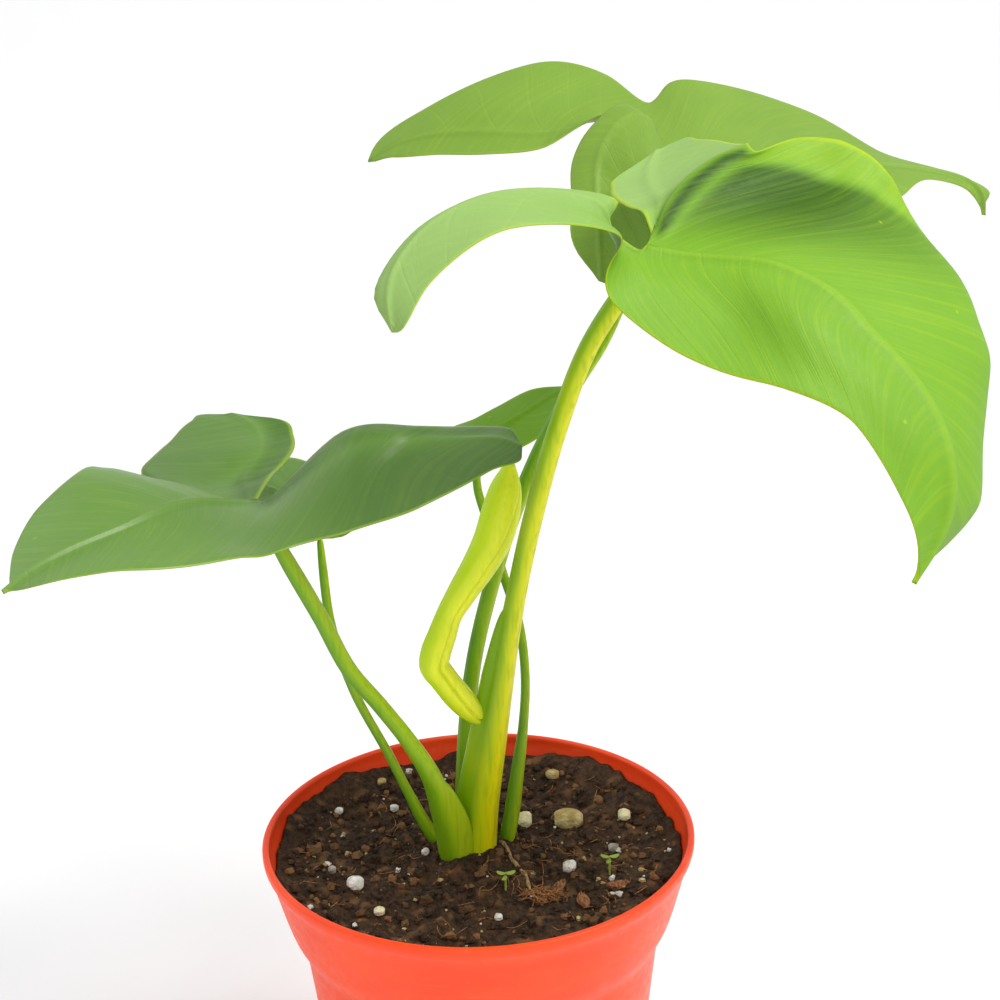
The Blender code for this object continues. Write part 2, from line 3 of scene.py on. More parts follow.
import bmesh
import bpy
import numpy as np
from mathutils import Matrix, Vector

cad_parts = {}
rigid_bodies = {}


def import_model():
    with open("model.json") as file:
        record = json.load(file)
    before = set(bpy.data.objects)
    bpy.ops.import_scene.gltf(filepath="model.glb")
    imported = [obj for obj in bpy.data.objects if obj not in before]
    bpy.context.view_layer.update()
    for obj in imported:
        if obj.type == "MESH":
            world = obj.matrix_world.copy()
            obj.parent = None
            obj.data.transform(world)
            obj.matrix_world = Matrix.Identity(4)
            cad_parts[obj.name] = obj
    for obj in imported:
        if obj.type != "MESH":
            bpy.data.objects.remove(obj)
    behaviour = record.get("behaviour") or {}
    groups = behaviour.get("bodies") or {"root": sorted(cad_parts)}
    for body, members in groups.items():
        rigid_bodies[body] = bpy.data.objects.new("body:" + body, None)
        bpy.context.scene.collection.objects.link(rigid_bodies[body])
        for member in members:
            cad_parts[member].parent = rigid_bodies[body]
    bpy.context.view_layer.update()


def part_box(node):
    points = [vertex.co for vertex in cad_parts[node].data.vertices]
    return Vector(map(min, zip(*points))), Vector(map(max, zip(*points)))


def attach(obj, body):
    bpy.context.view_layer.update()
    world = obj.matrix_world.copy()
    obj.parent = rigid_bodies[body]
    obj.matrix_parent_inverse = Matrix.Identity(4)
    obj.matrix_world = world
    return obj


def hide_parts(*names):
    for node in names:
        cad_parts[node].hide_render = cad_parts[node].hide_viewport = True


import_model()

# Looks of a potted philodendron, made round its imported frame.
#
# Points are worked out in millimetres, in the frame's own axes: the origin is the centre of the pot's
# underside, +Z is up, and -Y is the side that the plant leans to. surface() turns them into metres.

MM = 0.001
POT_HIGH = np.array(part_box("pot")[1]) / MM
SOIL_HIGH = np.array(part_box("soil")[1]) / MM
RIM_RADIUS = POT_HIGH[0]
POT_HEIGHT = POT_HIGH[2]
NECK_RADIUS = RIM_RADIUS - 9.7
NECK_HEIGHT = POT_HEIGHT - 28.5
FOOT_RADIUS = RIM_RADIUS - 19.0
POT_WALL = 1.3
FLOOR_THICKNESS = 1.6
DRAIN_COUNT = 8
DRAIN_RADIUS = 3.5
DRAIN_CIRCLE = 29.0
POT_SEGMENTS = 192
SOIL_RADIUS = SOIL_HIGH[0]
SOIL_CENTRE = SOIL_HIGH[2]
SOIL_FALL = 2.0
SOIL_FOOT = FLOOR_THICKNESS + 0.3
CROWN = np.array([-4.0, 0.0])
BLADE_THICKNESS = 0.55
# Millimetres from one side vein to the next, and from one hair vein to the next.
VEIN_STEP = 9.0
HAIR_STEP = 1.25

# Camera: where it stands in metres, and how far it looks down and leans, in radians.
CAMERA_PLACE = (0.009, -0.4912, 0.3833)
CAMERA_DOWN = 0.3523
CAMERA_LEAN = 0.0322
CAMERA_LENS = 72.0
CAMERA_SENSOR = 36.0

# Outline of a flat leaf, one unit from the stalk to the tip, which points along +Y. Each half is a ribbon
# that runs from the leaf's tip, past the stalk, to the end of its rear lobe. "along" goes from 0 to 1 down
# the ribbon. The inner edge is the midrib as far as the stalk, and then the rim of the sinus.
STALK = 0.66
INNER_EDGE = (
    (0.00, 0.000, 1.000),
    (0.18, 0.000, 0.780),
    (0.42, 0.000, 0.360),
    (0.60, 0.000, 0.050),
    (0.66, 0.000, 0.000),
    (0.74, 0.030, -0.090),
    (0.84, 0.085, -0.250),
    (0.93, 0.150, -0.400),
    (0.98, 0.210, -0.505),
    (1.00, 0.275, -0.535),
)
MARGIN = (
    (0.00, 0.000, 1.000),
    (0.02, 0.006, 0.976),
    (0.08, 0.056, 0.918),
    (0.18, 0.140, 0.820),
    (0.30, 0.255, 0.660),
    (0.42, 0.345, 0.480),
    (0.52, 0.382, 0.300),
    (0.60, 0.365, 0.130),
    (0.66, 0.325, 0.000),
    (0.74, 0.335, -0.120),
    (0.84, 0.380, -0.270),
    (0.93, 0.385, -0.410),
    (0.98, 0.340, -0.505),
    (1.00, 0.275, -0.535),
)

# Named marks on a half leaf: how far along the ribbon, and how far across it from midrib to margin.
MARKS = {
    "tip": (0.00, 0.0),
    "neck": (0.08, 1.0),
    "taper": (0.18, 1.0),
    "flank": (0.30, 1.0),
    "elbow": (0.40, 1.0),
    "belly": (0.46, 1.0),
    "upper_shoulder": (0.52, 1.0),
    "shoulder": (0.57, 1.0),
    "corner": (0.62, 1.0),
    "waist": (0.66, 1.0),
    "collar": (0.74, 1.0),
    "lobe_side": (0.84, 1.0),
    "lobe_round": (0.93, 1.0),
    "lobe_end": (1.00, 0.0),
    "lobe_turn": (0.98, 0.0),
    "sinus_low": (0.93, 0.0),
    "sinus_side": (0.84, 0.0),
    "sinus_lip": (0.80, 0.0),
    "sinus_curl": (0.78, 0.0),
    "sinus_root": (0.74, 0.0),
    "stalk": (STALK, 0.0),
    "rib_middle": (0.42, 0.0),
    "rib_outer": (0.30, 0.0),
    "rib_end": (0.18, 0.0),
    "lobe_heart": (0.86, 0.5),
    "cheek": (0.50, 0.55),
    "brow": (0.40, 0.62),
    "bend": (0.30, 0.55),
    "chin": (0.18, 0.55),
    "saddle": (0.52, 0.62),
    "crest": (0.46, 0.6),
    "inner_crest": (0.60, 0.55),
    "ridge_inner": (0.695, 0.25),
    "ridge": (0.70, 0.5),
    "ridge_outer": (0.695, 0.78),
    "valley_inner": (0.64, 0.22),
    "valley": (0.64, 0.5),
    "valley_outer": (0.64, 0.78),
    "crease": (0.55, 0.82),
    "crease_end": (0.47, 0.82),
}

# Where each leaf's marks lie in the plant. Right and left are as seen from above, looking to the tip.
FRONT_LEAF = {
    "right stalk": (46.5, -20, 273),
    "right rib_middle": (76, -28, 269.5),
    "right rib_outer": (96, -40, 256),
    "right rib_end": (113, -54, 228.5),
    "right tip": (103, -65.5, 203.5),
    "right taper": (100, -64, 224.5),
    "right flank": (89.5, -60, 241),
    "right belly": (70, -56, 249.5),
    "right shoulder": (49.5, -50, 256.5),
    "right corner": (36, -44, 267),
    "right waist": (35.5, -42, 274),
    "right collar": (38, -44, 282),
    "right lobe_side": (13, -56, 287),
    "right lobe_round": (-4.5, -66, 278),
    "right lobe_end": (-13, -70, 268),
    "right lobe_turn": (-17, -64, 274.5),
    "right sinus_low": (-7, -48, 286),
    "right sinus_side": (21.5, -32, 291),
    "right sinus_lip": (39, -28, 286.5),
    "right sinus_curl": (36.5, -30, 282.5),
    "right sinus_root": (42.5, -23, 274.5),
    "right lobe_heart": (7.5, -46, 289.5),
    "right cheek": (65, -40, 260.5),
    "left sinus_root": (48, -12, 274.5),
    "left sinus_side": (44, 0, 279),
    "left sinus_low": (40, 18, 280),
    "left lobe_end": (53, 38, 285.5),
    "left lobe_round": (65, 38, 288.5),
    "left lobe_side": (73.5, 27, 289),
    "left waist": (76, 8, 290.5),
    "left corner": (86, 18, 291.5),
    "left shoulder": (99.5, 22, 290),
    "left belly": (113, 20, 279.5),
    "left elbow": (122, 30, 261.5),
    "left flank": (130.5, 22, 233),
    "left taper": (124.5, -22, 207),
    "left ridge_inner": (51.5, -8, 279.5),
    "left ridge": (58, -1, 286),
    "left ridge_outer": (68, 6, 290.5),
    "left valley_inner": (53.5, -11, 275.5),
    "left valley": (61.5, -3, 282),
    "left valley_outer": (71, 4, 287.5),
    "left crease": (95.5, 16, 281.5),
    "left crease_end": (110.5, 15, 275),
    "left saddle": (94, 0, 276.5),
    "left brow": (125.5, 0, 259),
    "left bend": (132, -12, 240),
    "left chin": (124, -42, 214),
}
LEFT_LEAF = {
    "left stalk": (-53, -12, 208),
    "left rib_middle": (-69, -36, 217),
    "left rib_outer": (-80, -50, 217),
    "left tip": (-104, -72, 210),
    "left taper": (-91, -74, 214),
    "left flank": (-79, -72, 215),
    "left belly": (-65, -66, 213),
    "left shoulder": (-52, -56, 211),
    "left waist": (-42, -46, 209),
    "left collar": (-29, -40, 210),
    "left lobe_side": (-11, -32, 213),
    "left lobe_round": (7, -20, 218),
    "left lobe_end": (15, -10, 220),
    "left lobe_turn": (13, -2, 222),
    "left sinus_low": (4, 4, 222),
    "left sinus_side": (-16, 4, 223),
    "left sinus_curl": (-33, 0, 222),
    "left sinus_root": (-47, -8, 211),
    "left lobe_heart": (-17, -12, 218),
    "right taper": (-105, -56, 214),
    "right flank": (-102, -40, 219),
    "right elbow": (-94, -20, 222),
    "right belly": (-95, -2, 215),
    "right shoulder": (-94, 20, 202),
    "right waist": (-89, 28, 199),
    "right collar": (-90, 34, 203),
    "right lobe_side": (-84, 42, 207),
    "right lobe_round": (-78, 50, 211),
    "right lobe_end": (-66, 52, 212),
    "right lobe_turn": (-55, 48, 212),
    "right sinus_low": (-48, 40, 209),
    "right sinus_side": (-51, 16, 207),
    "right sinus_root": (-53, -4, 208),
    "right crest": (-87, -16, 220),
    "right inner_crest": (-75, -6, 212),
    "right lobe_heart": (-63, 26, 209),
}
BACK_LEAF = {
    "right stalk": (54, 56, 277),
    "right rib_middle": (88, 72, 276),
    "right rib_outer": (113, 82, 272),
    "right rib_end": (135, 90, 268),
    "right tip": (155, 96, 253),
    "left waist": (56, 98, 289),
    "left corner": (61, 104, 292),
    "left upper_shoulder": (73, 110, 293),
    "left belly": (90, 116, 288),
    "left elbow": (108, 116, 281),
    "left flank": (127, 112, 270),
    "left taper": (145, 104, 265),
    "left neck": (158, 100, 259),
    "right neck": (149, 90, 262),
    "right taper": (136, 82, 267),
    "right flank": (126, 70, 265),
    "right belly": (100, 52, 259),
    "right shoulder": (76, 38, 261),
    "right waist": (62, 32, 266),
    "right collar": (57, 28, 265),
    "right lobe_side": (54, 24, 262),
    "right lobe_round": (47, 22, 256),
    "right lobe_end": (37, 26, 254),
    "right lobe_turn": (32, 32, 260),
    "right sinus_low": (31, 42, 273),
    "right sinus_side": (35, 56, 287),
    "right sinus_curl": (46, 66, 294),
    "right sinus_root": (53, 64, 290),
    "right lobe_heart": (43, 42, 275),
    "left sinus_root": (47, 72, 289),
    "left sinus_side": (25, 76, 281),
    "left sinus_low": (-4, 80, 279),
    "left lobe_turn": (-19, 84, 278),
    "left lobe_end": (-26, 88, 276),
    "left lobe_round": (-8, 98, 290),
    "left lobe_side": (23, 108, 300),
    "left collar": (45, 106, 296),
    "left lobe_heart": (13, 90, 291),
}
REAR_LEAF = {
    "right stalk": (4, 58, 201),
    "right rib_outer": (21, 60, 209),
    "right tip": (34, 60, 217),
    "right flank": (28, 54, 211),
    "right belly": (23, 50, 205),
    "right shoulder": (16, 48, 201),
    "left flank": (28, 66, 213),
    "left belly": (19, 70, 211),
    "left shoulder": (10, 72, 206),
    "left waist": (3, 70, 203),
    "left lobe_end": (-8, 70, 196),
    "right waist": (9, 50, 198),
    "right lobe_end": (-3, 51, 195),
    "right sinus_low": (-4, 55, 197),
    "left sinus_low": (-6, 64, 198),
}
LEFT_REAR_LEAF = {
    "left stalk": (-41, 24, 187),
    "left rib_outer": (-56, 44, 192),
    "left tip": (-77, 62, 191),
    "left flank": (-66, 48, 186),
    "left belly": (-58, 36, 185),
    "left waist": (-46, 18, 186),
    "left lobe_end": (-30, 8, 193),
    "left sinus_low": (-28, 14, 195),
    "right flank": (-64, 62, 194),
    "right belly": (-53, 60, 196),
    "right shoulder": (-45, 54, 196),
    "right waist": (-38, 46, 195),
    "right lobe_end": (-23, 38, 193),
    "right sinus_low": (-26, 28, 194),
}

# Routes with a radius at each point: x, y, z, radius. A stalk is widest where its sheath wraps the crown.
STALKS = {
    "stalk_front": (
        (-1.5, 2, 84.5, 4.8), (-1.0, 2, 93, 5.3), (1.0, 1.5, 112, 4.9), (4.6, 0, 133, 4.1),
        (8.0, -1.5, 152, 3.3), (11, -3, 169.5, 2.8), (18, -6, 202, 2.6), (25, -10, 227.5, 2.5),
        (32.5, -14, 248, 2.4), (40, -17, 261, 2.3), (44.5, -19.5, 268.5, 1.7),
    ),
    "stalk_back": (
        (-3, 10.5, 84.5, 2.0), (-3.5, 12, 97, 3.0), (-3, 13.5, 121, 2.6), (0.5, 16, 150.5, 2.2),
        (5.5, 20, 169, 2.2), (12, 25, 187.5, 2.2), (19.5, 30, 204, 2.1), (29.5, 35, 221, 2.0),
        (39, 40, 234.5, 2.0), (47, 47, 251.5, 1.9), (53, 54.5, 273, 1.4),
    ),
    "stalk_left": (
        (-4.5, 0, 84.5, 2.8), (-6.5, -1.5, 96, 4.0), (-9, -4.5, 113, 3.6), (-12.5, -7, 127, 2.7),
        (-17.5, -7, 136.5, 2.3), (-25, -5.5, 147, 2.2), (-32, -6, 157, 2.2), (-39, -8, 174, 2.2),
        (-47, -11, 193, 2.0), (-51.5, -12, 203.5, 1.4),
    ),
    "stalk_left_rear": (
        (-8.3, 6.5, 84.5, 1.4), (-12, 8, 97, 1.9), (-15.5, 8, 104, 1.8), (-19.5, 8, 113.5, 1.4),
        (-24, 9, 124, 1.3), (-33.5, 12, 144, 1.3), (-39, 16.5, 163, 1.3), (-40.5, 21, 177, 1.2),
        (-41, 23.5, 184, 0.9),
    ),
    "stalk_rear": (
        (4.5, 9, 84.5, 1.6), (8, 12, 96, 2.2), (11.5, 15, 115.5, 1.9), (13.5, 17, 128.5, 1.4),
        (14.5, 20, 142.5, 1.3), (13.5, 24, 155, 1.3), (9, 32, 169.5, 1.3), (5, 42, 181.5, 1.3),
        (2.5, 50, 190, 1.2), (3.5, 56, 197.5, 0.9),
    ),
}
ROLLED_LEAF = (
    (3.6, 1.6, 138, 1.2), (0.6, -0.8, 141.5, 3.0), (-3.4, -3.2, 147.5, 4.0), (-7.6, -3, 153.5, 4.1),
    (-9.8, -2.6, 157.2, 4.3), (-9.2, -2.2, 160.6, 4.4), (-7.5, -1.3, 165, 4.2), (-5.5, 0, 170, 3.8),
    (-1.5, 1, 176.5, 4.3), (3, 3, 183, 5.0), (7, 5, 190, 5.6), (9.5, 6.5, 197.5, 5.6),
    (11, 8, 204, 4.4), (12, 9, 209.5, 1.6),
)
DRY_ROOT = (
    (3.5, 8.5, 97.5, 0.6), (7, 2.5, 98, 0.6), (8.5, -3, 97, 0.55), (12, -10, 97, 0.5),
    (13.5, -16, 96.5, 0.45), (14, -22, 96.3, 0.3),
)


def hermite(knots, where):
    """Points on a smooth curve through the knots, each along and its values: cubics that share slopes."""
    knots = np.array(knots)
    along = knots[:, 0]
    points = knots[:, 1:]
    slopes = np.gradient(points, along, axis=0)
    start = np.clip(np.searchsorted(along, where, side="right") - 1, 0, len(along) - 2)
    reach = (along[start + 1] - along[start])[..., None]
    part = (where - along[start])[..., None] / reach
    return (
        (2 * part**3 - 3 * part**2 + 1) * points[start]
        + (part**3 - 2 * part**2 + part) * reach * slopes[start]
        + (3 * part**2 - 2 * part**3) * points[start + 1]
        + (part**3 - part**2) * reach * slopes[start + 1]
    )


def flat_leaf(side, along, across):
    """Where a point of the half leaf lies on the flat leaf: inner edge + across * (margin - inner edge).

    side is 1 for the right half, and -1 for the left, which is its mirror image.
    """
    inner = hermite(INNER_EDGE, along)
    outer = hermite(MARGIN, along)
    flat = inner + (outer - inner) * across[..., None]
    return flat * (side, 1.0)


def bending(flat, placed):
    """The thin-plate spline that carries the flat points to their places, and all between smoothly."""
    def pull(distance):
        return distance**2 * np.log(distance + 1e-12)

    def plane(points):
        return np.column_stack([np.ones(len(points)), points])

    between = np.linalg.norm(flat[:, None] - flat[None], axis=-1)
    base = plane(flat)
    system = np.block([[pull(between), base], [base.T, np.zeros((3, 3))]])
    weights = np.linalg.solve(system, np.concatenate([placed, np.zeros((3, 3))]))

    def place(points):
        distance = np.linalg.norm(points[:, None] - flat[None], axis=-1)
        return pull(distance) @ weights[: len(flat)] + plane(points) @ weights[len(flat):]

    return place


def leaf_bending(marks):
    """The bending of one leaf: its marks' flat places come from MARKS, and their bent ones are given."""
    flat = []
    for key in marks:
        half, mark = key.split()
        along, across = MARKS[mark]
        side = 1.0 if half == "right" else -1.0
        flat.append(flat_leaf(side, np.array(along), np.array(across)))
    return bending(np.array(flat), np.array(list(marks.values()), float))


# ---------------------------------------------------------------- surfaces


def hashed(cells, seed):
    """Fixed numbers from 0 to 1 for whole-number cells: the fraction left of a large multiple of a sine."""
    total = cells @ np.array([127.1, 311.7, 74.7]) + seed * 17.3
    return np.modf(np.abs(np.sin(total) * 43758.5453))[0]


def noise(points, size, seed=0):
    """Smooth noise from 0 to 1: hashed numbers on a lattice of this size, blended by 3t^2 - 2t^3."""
    scaled = np.asarray(points, float) / size
    cell = np.floor(scaled)
    part = scaled - cell
    part = part * part * (3.0 - 2.0 * part)
    total = np.zeros(scaled.shape[:-1])
    for corner in np.ndindex(2, 2, 2):
        weight = np.prod(np.where(corner, part, 1.0 - part), axis=-1)
        total += weight * hashed(cell + np.array(corner), seed)
    return total


def grid_faces(rows, columns, closed=False, first=0):
    """Quads of a grid of rows by columns, joined round from its last column to its first where closed."""
    row = np.arange(rows - 1)[:, None] * columns
    column = np.arange(columns if closed else columns - 1)[None, :]
    beside = (column + 1) % columns
    quads = [row + column, row + beside, row + columns + beside, row + columns + column]
    return np.stack(quads, axis=-1).reshape(-1, 4) + first


def surface(name, points, faces, finish, replaces=(), marks=None, smooth=True):
    """One piece from points in millimetres and faces. Points at one place are merged, which closes seams."""
    mesh = bpy.data.meshes.new(name)
    mesh.from_pydata((np.asarray(points) * MM).tolist(), [], np.asarray(faces).tolist())
    for mark, values in (marks or {}).items():
        numbers = np.asarray(values, np.float32).ravel()
        mesh.attributes.new(mark, "FLOAT", "POINT").data.foreach_set("value", numbers)
    bm = bmesh.new()
    bm.from_mesh(mesh)
    bmesh.ops.remove_doubles(bm, verts=bm.verts[:], dist=1e-7)
    bm.to_mesh(mesh)
    bm.free()
    if smooth:
        mesh.shade_smooth()
    mesh.materials.append(finish)
    obj = bpy.data.objects.new(name, mesh)
    bpy.context.scene.collection.objects.link(obj)
    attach(obj, "root")
    if replaces:
        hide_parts(*replaces)
    return obj


def joined(parts):
    """Several (points, faces, marks) as one, with the faces numbered on."""
    first = 0
    points, faces, marks = [], [], {}
    for part_points, part_faces, part_marks in parts:
        points.append(part_points.reshape(-1, 3))
        faces.append(part_faces + first)
        first += len(points[-1])
        for mark, values in part_marks.items():
            marks.setdefault(mark, []).append(np.asarray(values, float).ravel())
    return np.concatenate(points), np.concatenate(faces), {k: np.concatenate(v) for k, v in marks.items()}


def thick_sheet(points, faces, above, below, marks):
    """A closed skin round an open sheet: each point moved along its normal, both ways, and the rim walled.

    points, above, below and marks are per point, and faces are quads that face up. Points at one place are
    first made one, so the normals agree across a seam.
    """
    _, first, index = np.unique(np.round(points, 4), axis=0, return_index=True, return_inverse=True)
    index = index.reshape(-1)
    points, above, below = points[first], above[first], below[first]
    marks = {mark: values[first] for mark, values in marks.items()}
    quads = index[faces]
    triangles = np.concatenate([quads[:, [0, 1, 2]], quads[:, [0, 2, 3]]])
    real = (triangles[:, 0] != triangles[:, 1]) & (triangles[:, 1] != triangles[:, 2])
    triangles = triangles[real & (triangles[:, 0] != triangles[:, 2])]
    corners = points[triangles]
    crossing = np.cross(corners[:, 1] - corners[:, 0], corners[:, 2] - corners[:, 0])
    normals = np.zeros_like(points)
    for corner in range(3):
        np.add.at(normals, triangles[:, corner], crossing)
    normals /= np.linalg.norm(normals, axis=1)[:, None] + 1e-12
    edges = np.concatenate([triangles[:, [0, 1]], triangles[:, [1, 2]], triangles[:, [2, 0]]])
    code = edges[:, 0] * len(points) + edges[:, 1]
    back = edges[:, 1] * len(points) + edges[:, 0]
    rim = edges[~np.isin(code, back)]
    count = len(points)
    wall = np.column_stack([rim[:, 0], rim[:, 0] + count, rim[:, 1] + count, rim[:, 1]])
    wall = np.concatenate([wall[:, [0, 1, 2]], wall[:, [0, 2, 3]]])
    skin = np.concatenate([points + normals * above[:, None], points - normals * below[:, None]])
    all_faces = np.concatenate([triangles, triangles[:, ::-1] + count, wall])
    marks = {mark: np.concatenate([values, values]) for mark, values in marks.items()}
    marks["under"] = np.concatenate([np.zeros(count), np.ones(count)])
    return skin, all_faces, marks


def smooth_route(stations, count):
    """Points at even steps on a smooth curve through the stations, with each station's further values."""
    stations = np.array(stations, float)
    steps = np.linalg.norm(np.diff(stations[:, :3], axis=0), axis=1)
    along = np.concatenate([[0.0], np.cumsum(steps)])
    return hermite(np.column_stack([along, stations]), np.linspace(0.0, along[-1], count))


def route_frame(route):
    """Run, side and back along a route. Side is +Y crossed with run, and back is run crossed with side."""
    run = np.gradient(route[:, :3], axis=0)
    run /= np.linalg.norm(run, axis=1)[:, None]
    side = np.cross((0.0, 1.0, 0.0), run)
    side /= np.linalg.norm(side, axis=1)[:, None]
    return run, side, np.cross(run, side)


def tube(route, around, radius, marks=None):
    """A closed tube: the point at angle a is the route's point + radius(s, a) * (side cos a + back sin a).

    route has x, y, z in its first columns. radius is a grid of one row per station and one column per angle.
    """
    _, side, back = route_frame(route)
    angle = np.linspace(0.0, 2 * np.pi, around, endpoint=False)
    ring = side[:, None] * np.cos(angle)[None, :, None] + back[:, None] * np.sin(angle)[None, :, None]
    points = route[:, None, :3] + ring * radius[..., None]
    ends = np.repeat(route[[0, -1], None, :3], around, axis=1)
    points = np.concatenate([ends[:1], points, ends[1:]])
    rows = len(points)
    share = np.concatenate([[0.0], np.linspace(0.0, 1.0, rows - 2), [1.0]])
    given = {
        "up_stalk": np.repeat(share, around),
        "to_right": np.tile(np.cos(angle), rows),
        "to_back": np.tile(np.sin(angle), rows),
    }
    given.update(marks or {})
    return points, grid_faces(rows, around, closed=True), given


def ball(rows=16, around=22):
    """Unit directions on a sphere at tilt h and turn t, (cos h cos t, cos h sin t, sin h), and its faces."""
    tilt = np.linspace(-0.5 * np.pi, 0.5 * np.pi, rows)[:, None]
    turn = np.linspace(0.0, 2 * np.pi, around, endpoint=False)[None, :]
    level = np.cos(tilt)
    level[[0, -1]] = 0.0
    points = np.stack([level * np.cos(turn), level * np.sin(turn), np.sin(tilt) + 0 * turn], axis=-1)
    return points, grid_faces(rows, around, closed=True)


# ---------------------------------------------------------------- finishes


class Finish:
    """A procedural finish being built: its methods add nodes and give back their outputs."""

    def __init__(self, name, **values):
        self.material = bpy.data.materials.new(name)
        self.material.use_nodes = True
        self.tree = self.material.node_tree
        self.shader = self.tree.nodes["Principled BSDF"]
        for socket, value in values.items():
            self.shader.inputs[socket.replace("_", " ")].default_value = value
        self.place = self.add("ShaderNodeTexCoord").outputs["Object"]

    def add(self, kind, inputs=(), **settings):
        """One node with these inputs, by name or number, and these settings."""
        node = self.tree.nodes.new(kind)
        for setting, value in settings.items():
            setattr(node, setting, value)
        for socket, value in dict(inputs).items():
            self.give(node.inputs[socket], value)
        return node

    def give(self, socket, value):
        """Links an output to a socket, or sets the socket's own value."""
        if isinstance(value, bpy.types.NodeSocket):
            self.tree.links.new(value, socket)
        else:
            socket.default_value = colour(value) if socket.type == "RGBA" else value

    def math(self, operation, first, second=0.0):
        return self.add("ShaderNodeMath", {0: first, 1: second}, operation=operation).outputs[0]

    def mark(self, name):
        """A number that the piece carries at each of its points."""
        return self.add("ShaderNodeAttribute", attribute_name=name).outputs["Fac"]

    def fade(self, value, start, end, low=0.0, high=1.0):
        """Smoothly from low, where value is start, to high, where it is end."""
        inputs = {"Value": value, "From Min": start, "From Max": end, "To Min": low, "To Max": high}
        return self.add("ShaderNodeMapRange", inputs, interpolation_type="SMOOTHSTEP").outputs["Result"]

    def grain(self, size, detail=3.0, stretch=(1.0, 1.0, 1.0), roughness=0.55):
        """Noise with features of this size in millimetres, drawn out on an axis where stretch is over 1."""
        scale = [1.0 / part for part in stretch]
        where = self.add("ShaderNodeMapping", {"Vector": self.place, "Scale": scale}).outputs["Vector"]
        inputs = {"Vector": where, "Scale": 1.0 / (size * MM), "Detail": detail, "Roughness": roughness}
        return self.add("ShaderNodeTexNoise", inputs).outputs["Fac"]

    def cells(self, size, feature="F1"):
        """Distance to the nearest of scattered points about this many millimetres apart."""
        inputs = {"Vector": self.place, "Scale": 1.0 / (size * MM)}
        return self.add("ShaderNodeTexVoronoi", inputs, feature=feature).outputs["Distance"]

    def blend(self, share, first, second, mode="MIX"):
        """From the first colour to the second as share goes from 0 to 1."""
        node = self.add("ShaderNodeMix", data_type="RGBA", blend_type=mode, clamp_factor=True)
        self.give(node.inputs[0], share)
        self.give(node.inputs[6], colour(first))
        self.give(node.inputs[7], colour(second))
        return node.outputs[2]

    def bump(self, height, depth, strength=1.0):
        """Relief of this depth in millimetres, added to any bump made before."""
        inputs = {"Height": height, "Distance": depth * MM, "Strength": strength}
        node = self.add("ShaderNodeBump", inputs)
        before = self.shader.inputs["Normal"]
        if before.is_linked:
            self.tree.links.new(before.links[0].from_socket, node.inputs["Normal"])
        self.tree.links.new(node.outputs["Normal"], before)

    def done(self, base, roughness, glow=0.0, glow_colour=None):
        """Joins colour and roughness to the shader. glow is the share of light that shines through."""
        self.give(self.shader.inputs["Base Color"], base)
        self.give(self.shader.inputs["Roughness"], roughness)
        if glow:
            through = self.add("ShaderNodeBsdfTranslucent", {"Color": glow_colour})
            mix = self.add("ShaderNodeMixShader", {0: glow, 1: self.shader.outputs[0], 2: through.outputs[0]})
            self.tree.links.new(mix.outputs[0], self.tree.nodes["Material Output"].inputs["Surface"])
        return self.material


def colour(value):
    """A colour with its alpha, where only red, green and blue are given."""
    return (*value, 1.0) if isinstance(value, tuple) and len(value) == 3 else value


# Painted sheen: a pale grey-green that stands in for the reflection of the sky on the rear lobes.
PAINTED_SHEEN_GREEN = (0.42, 0.56, 0.26)


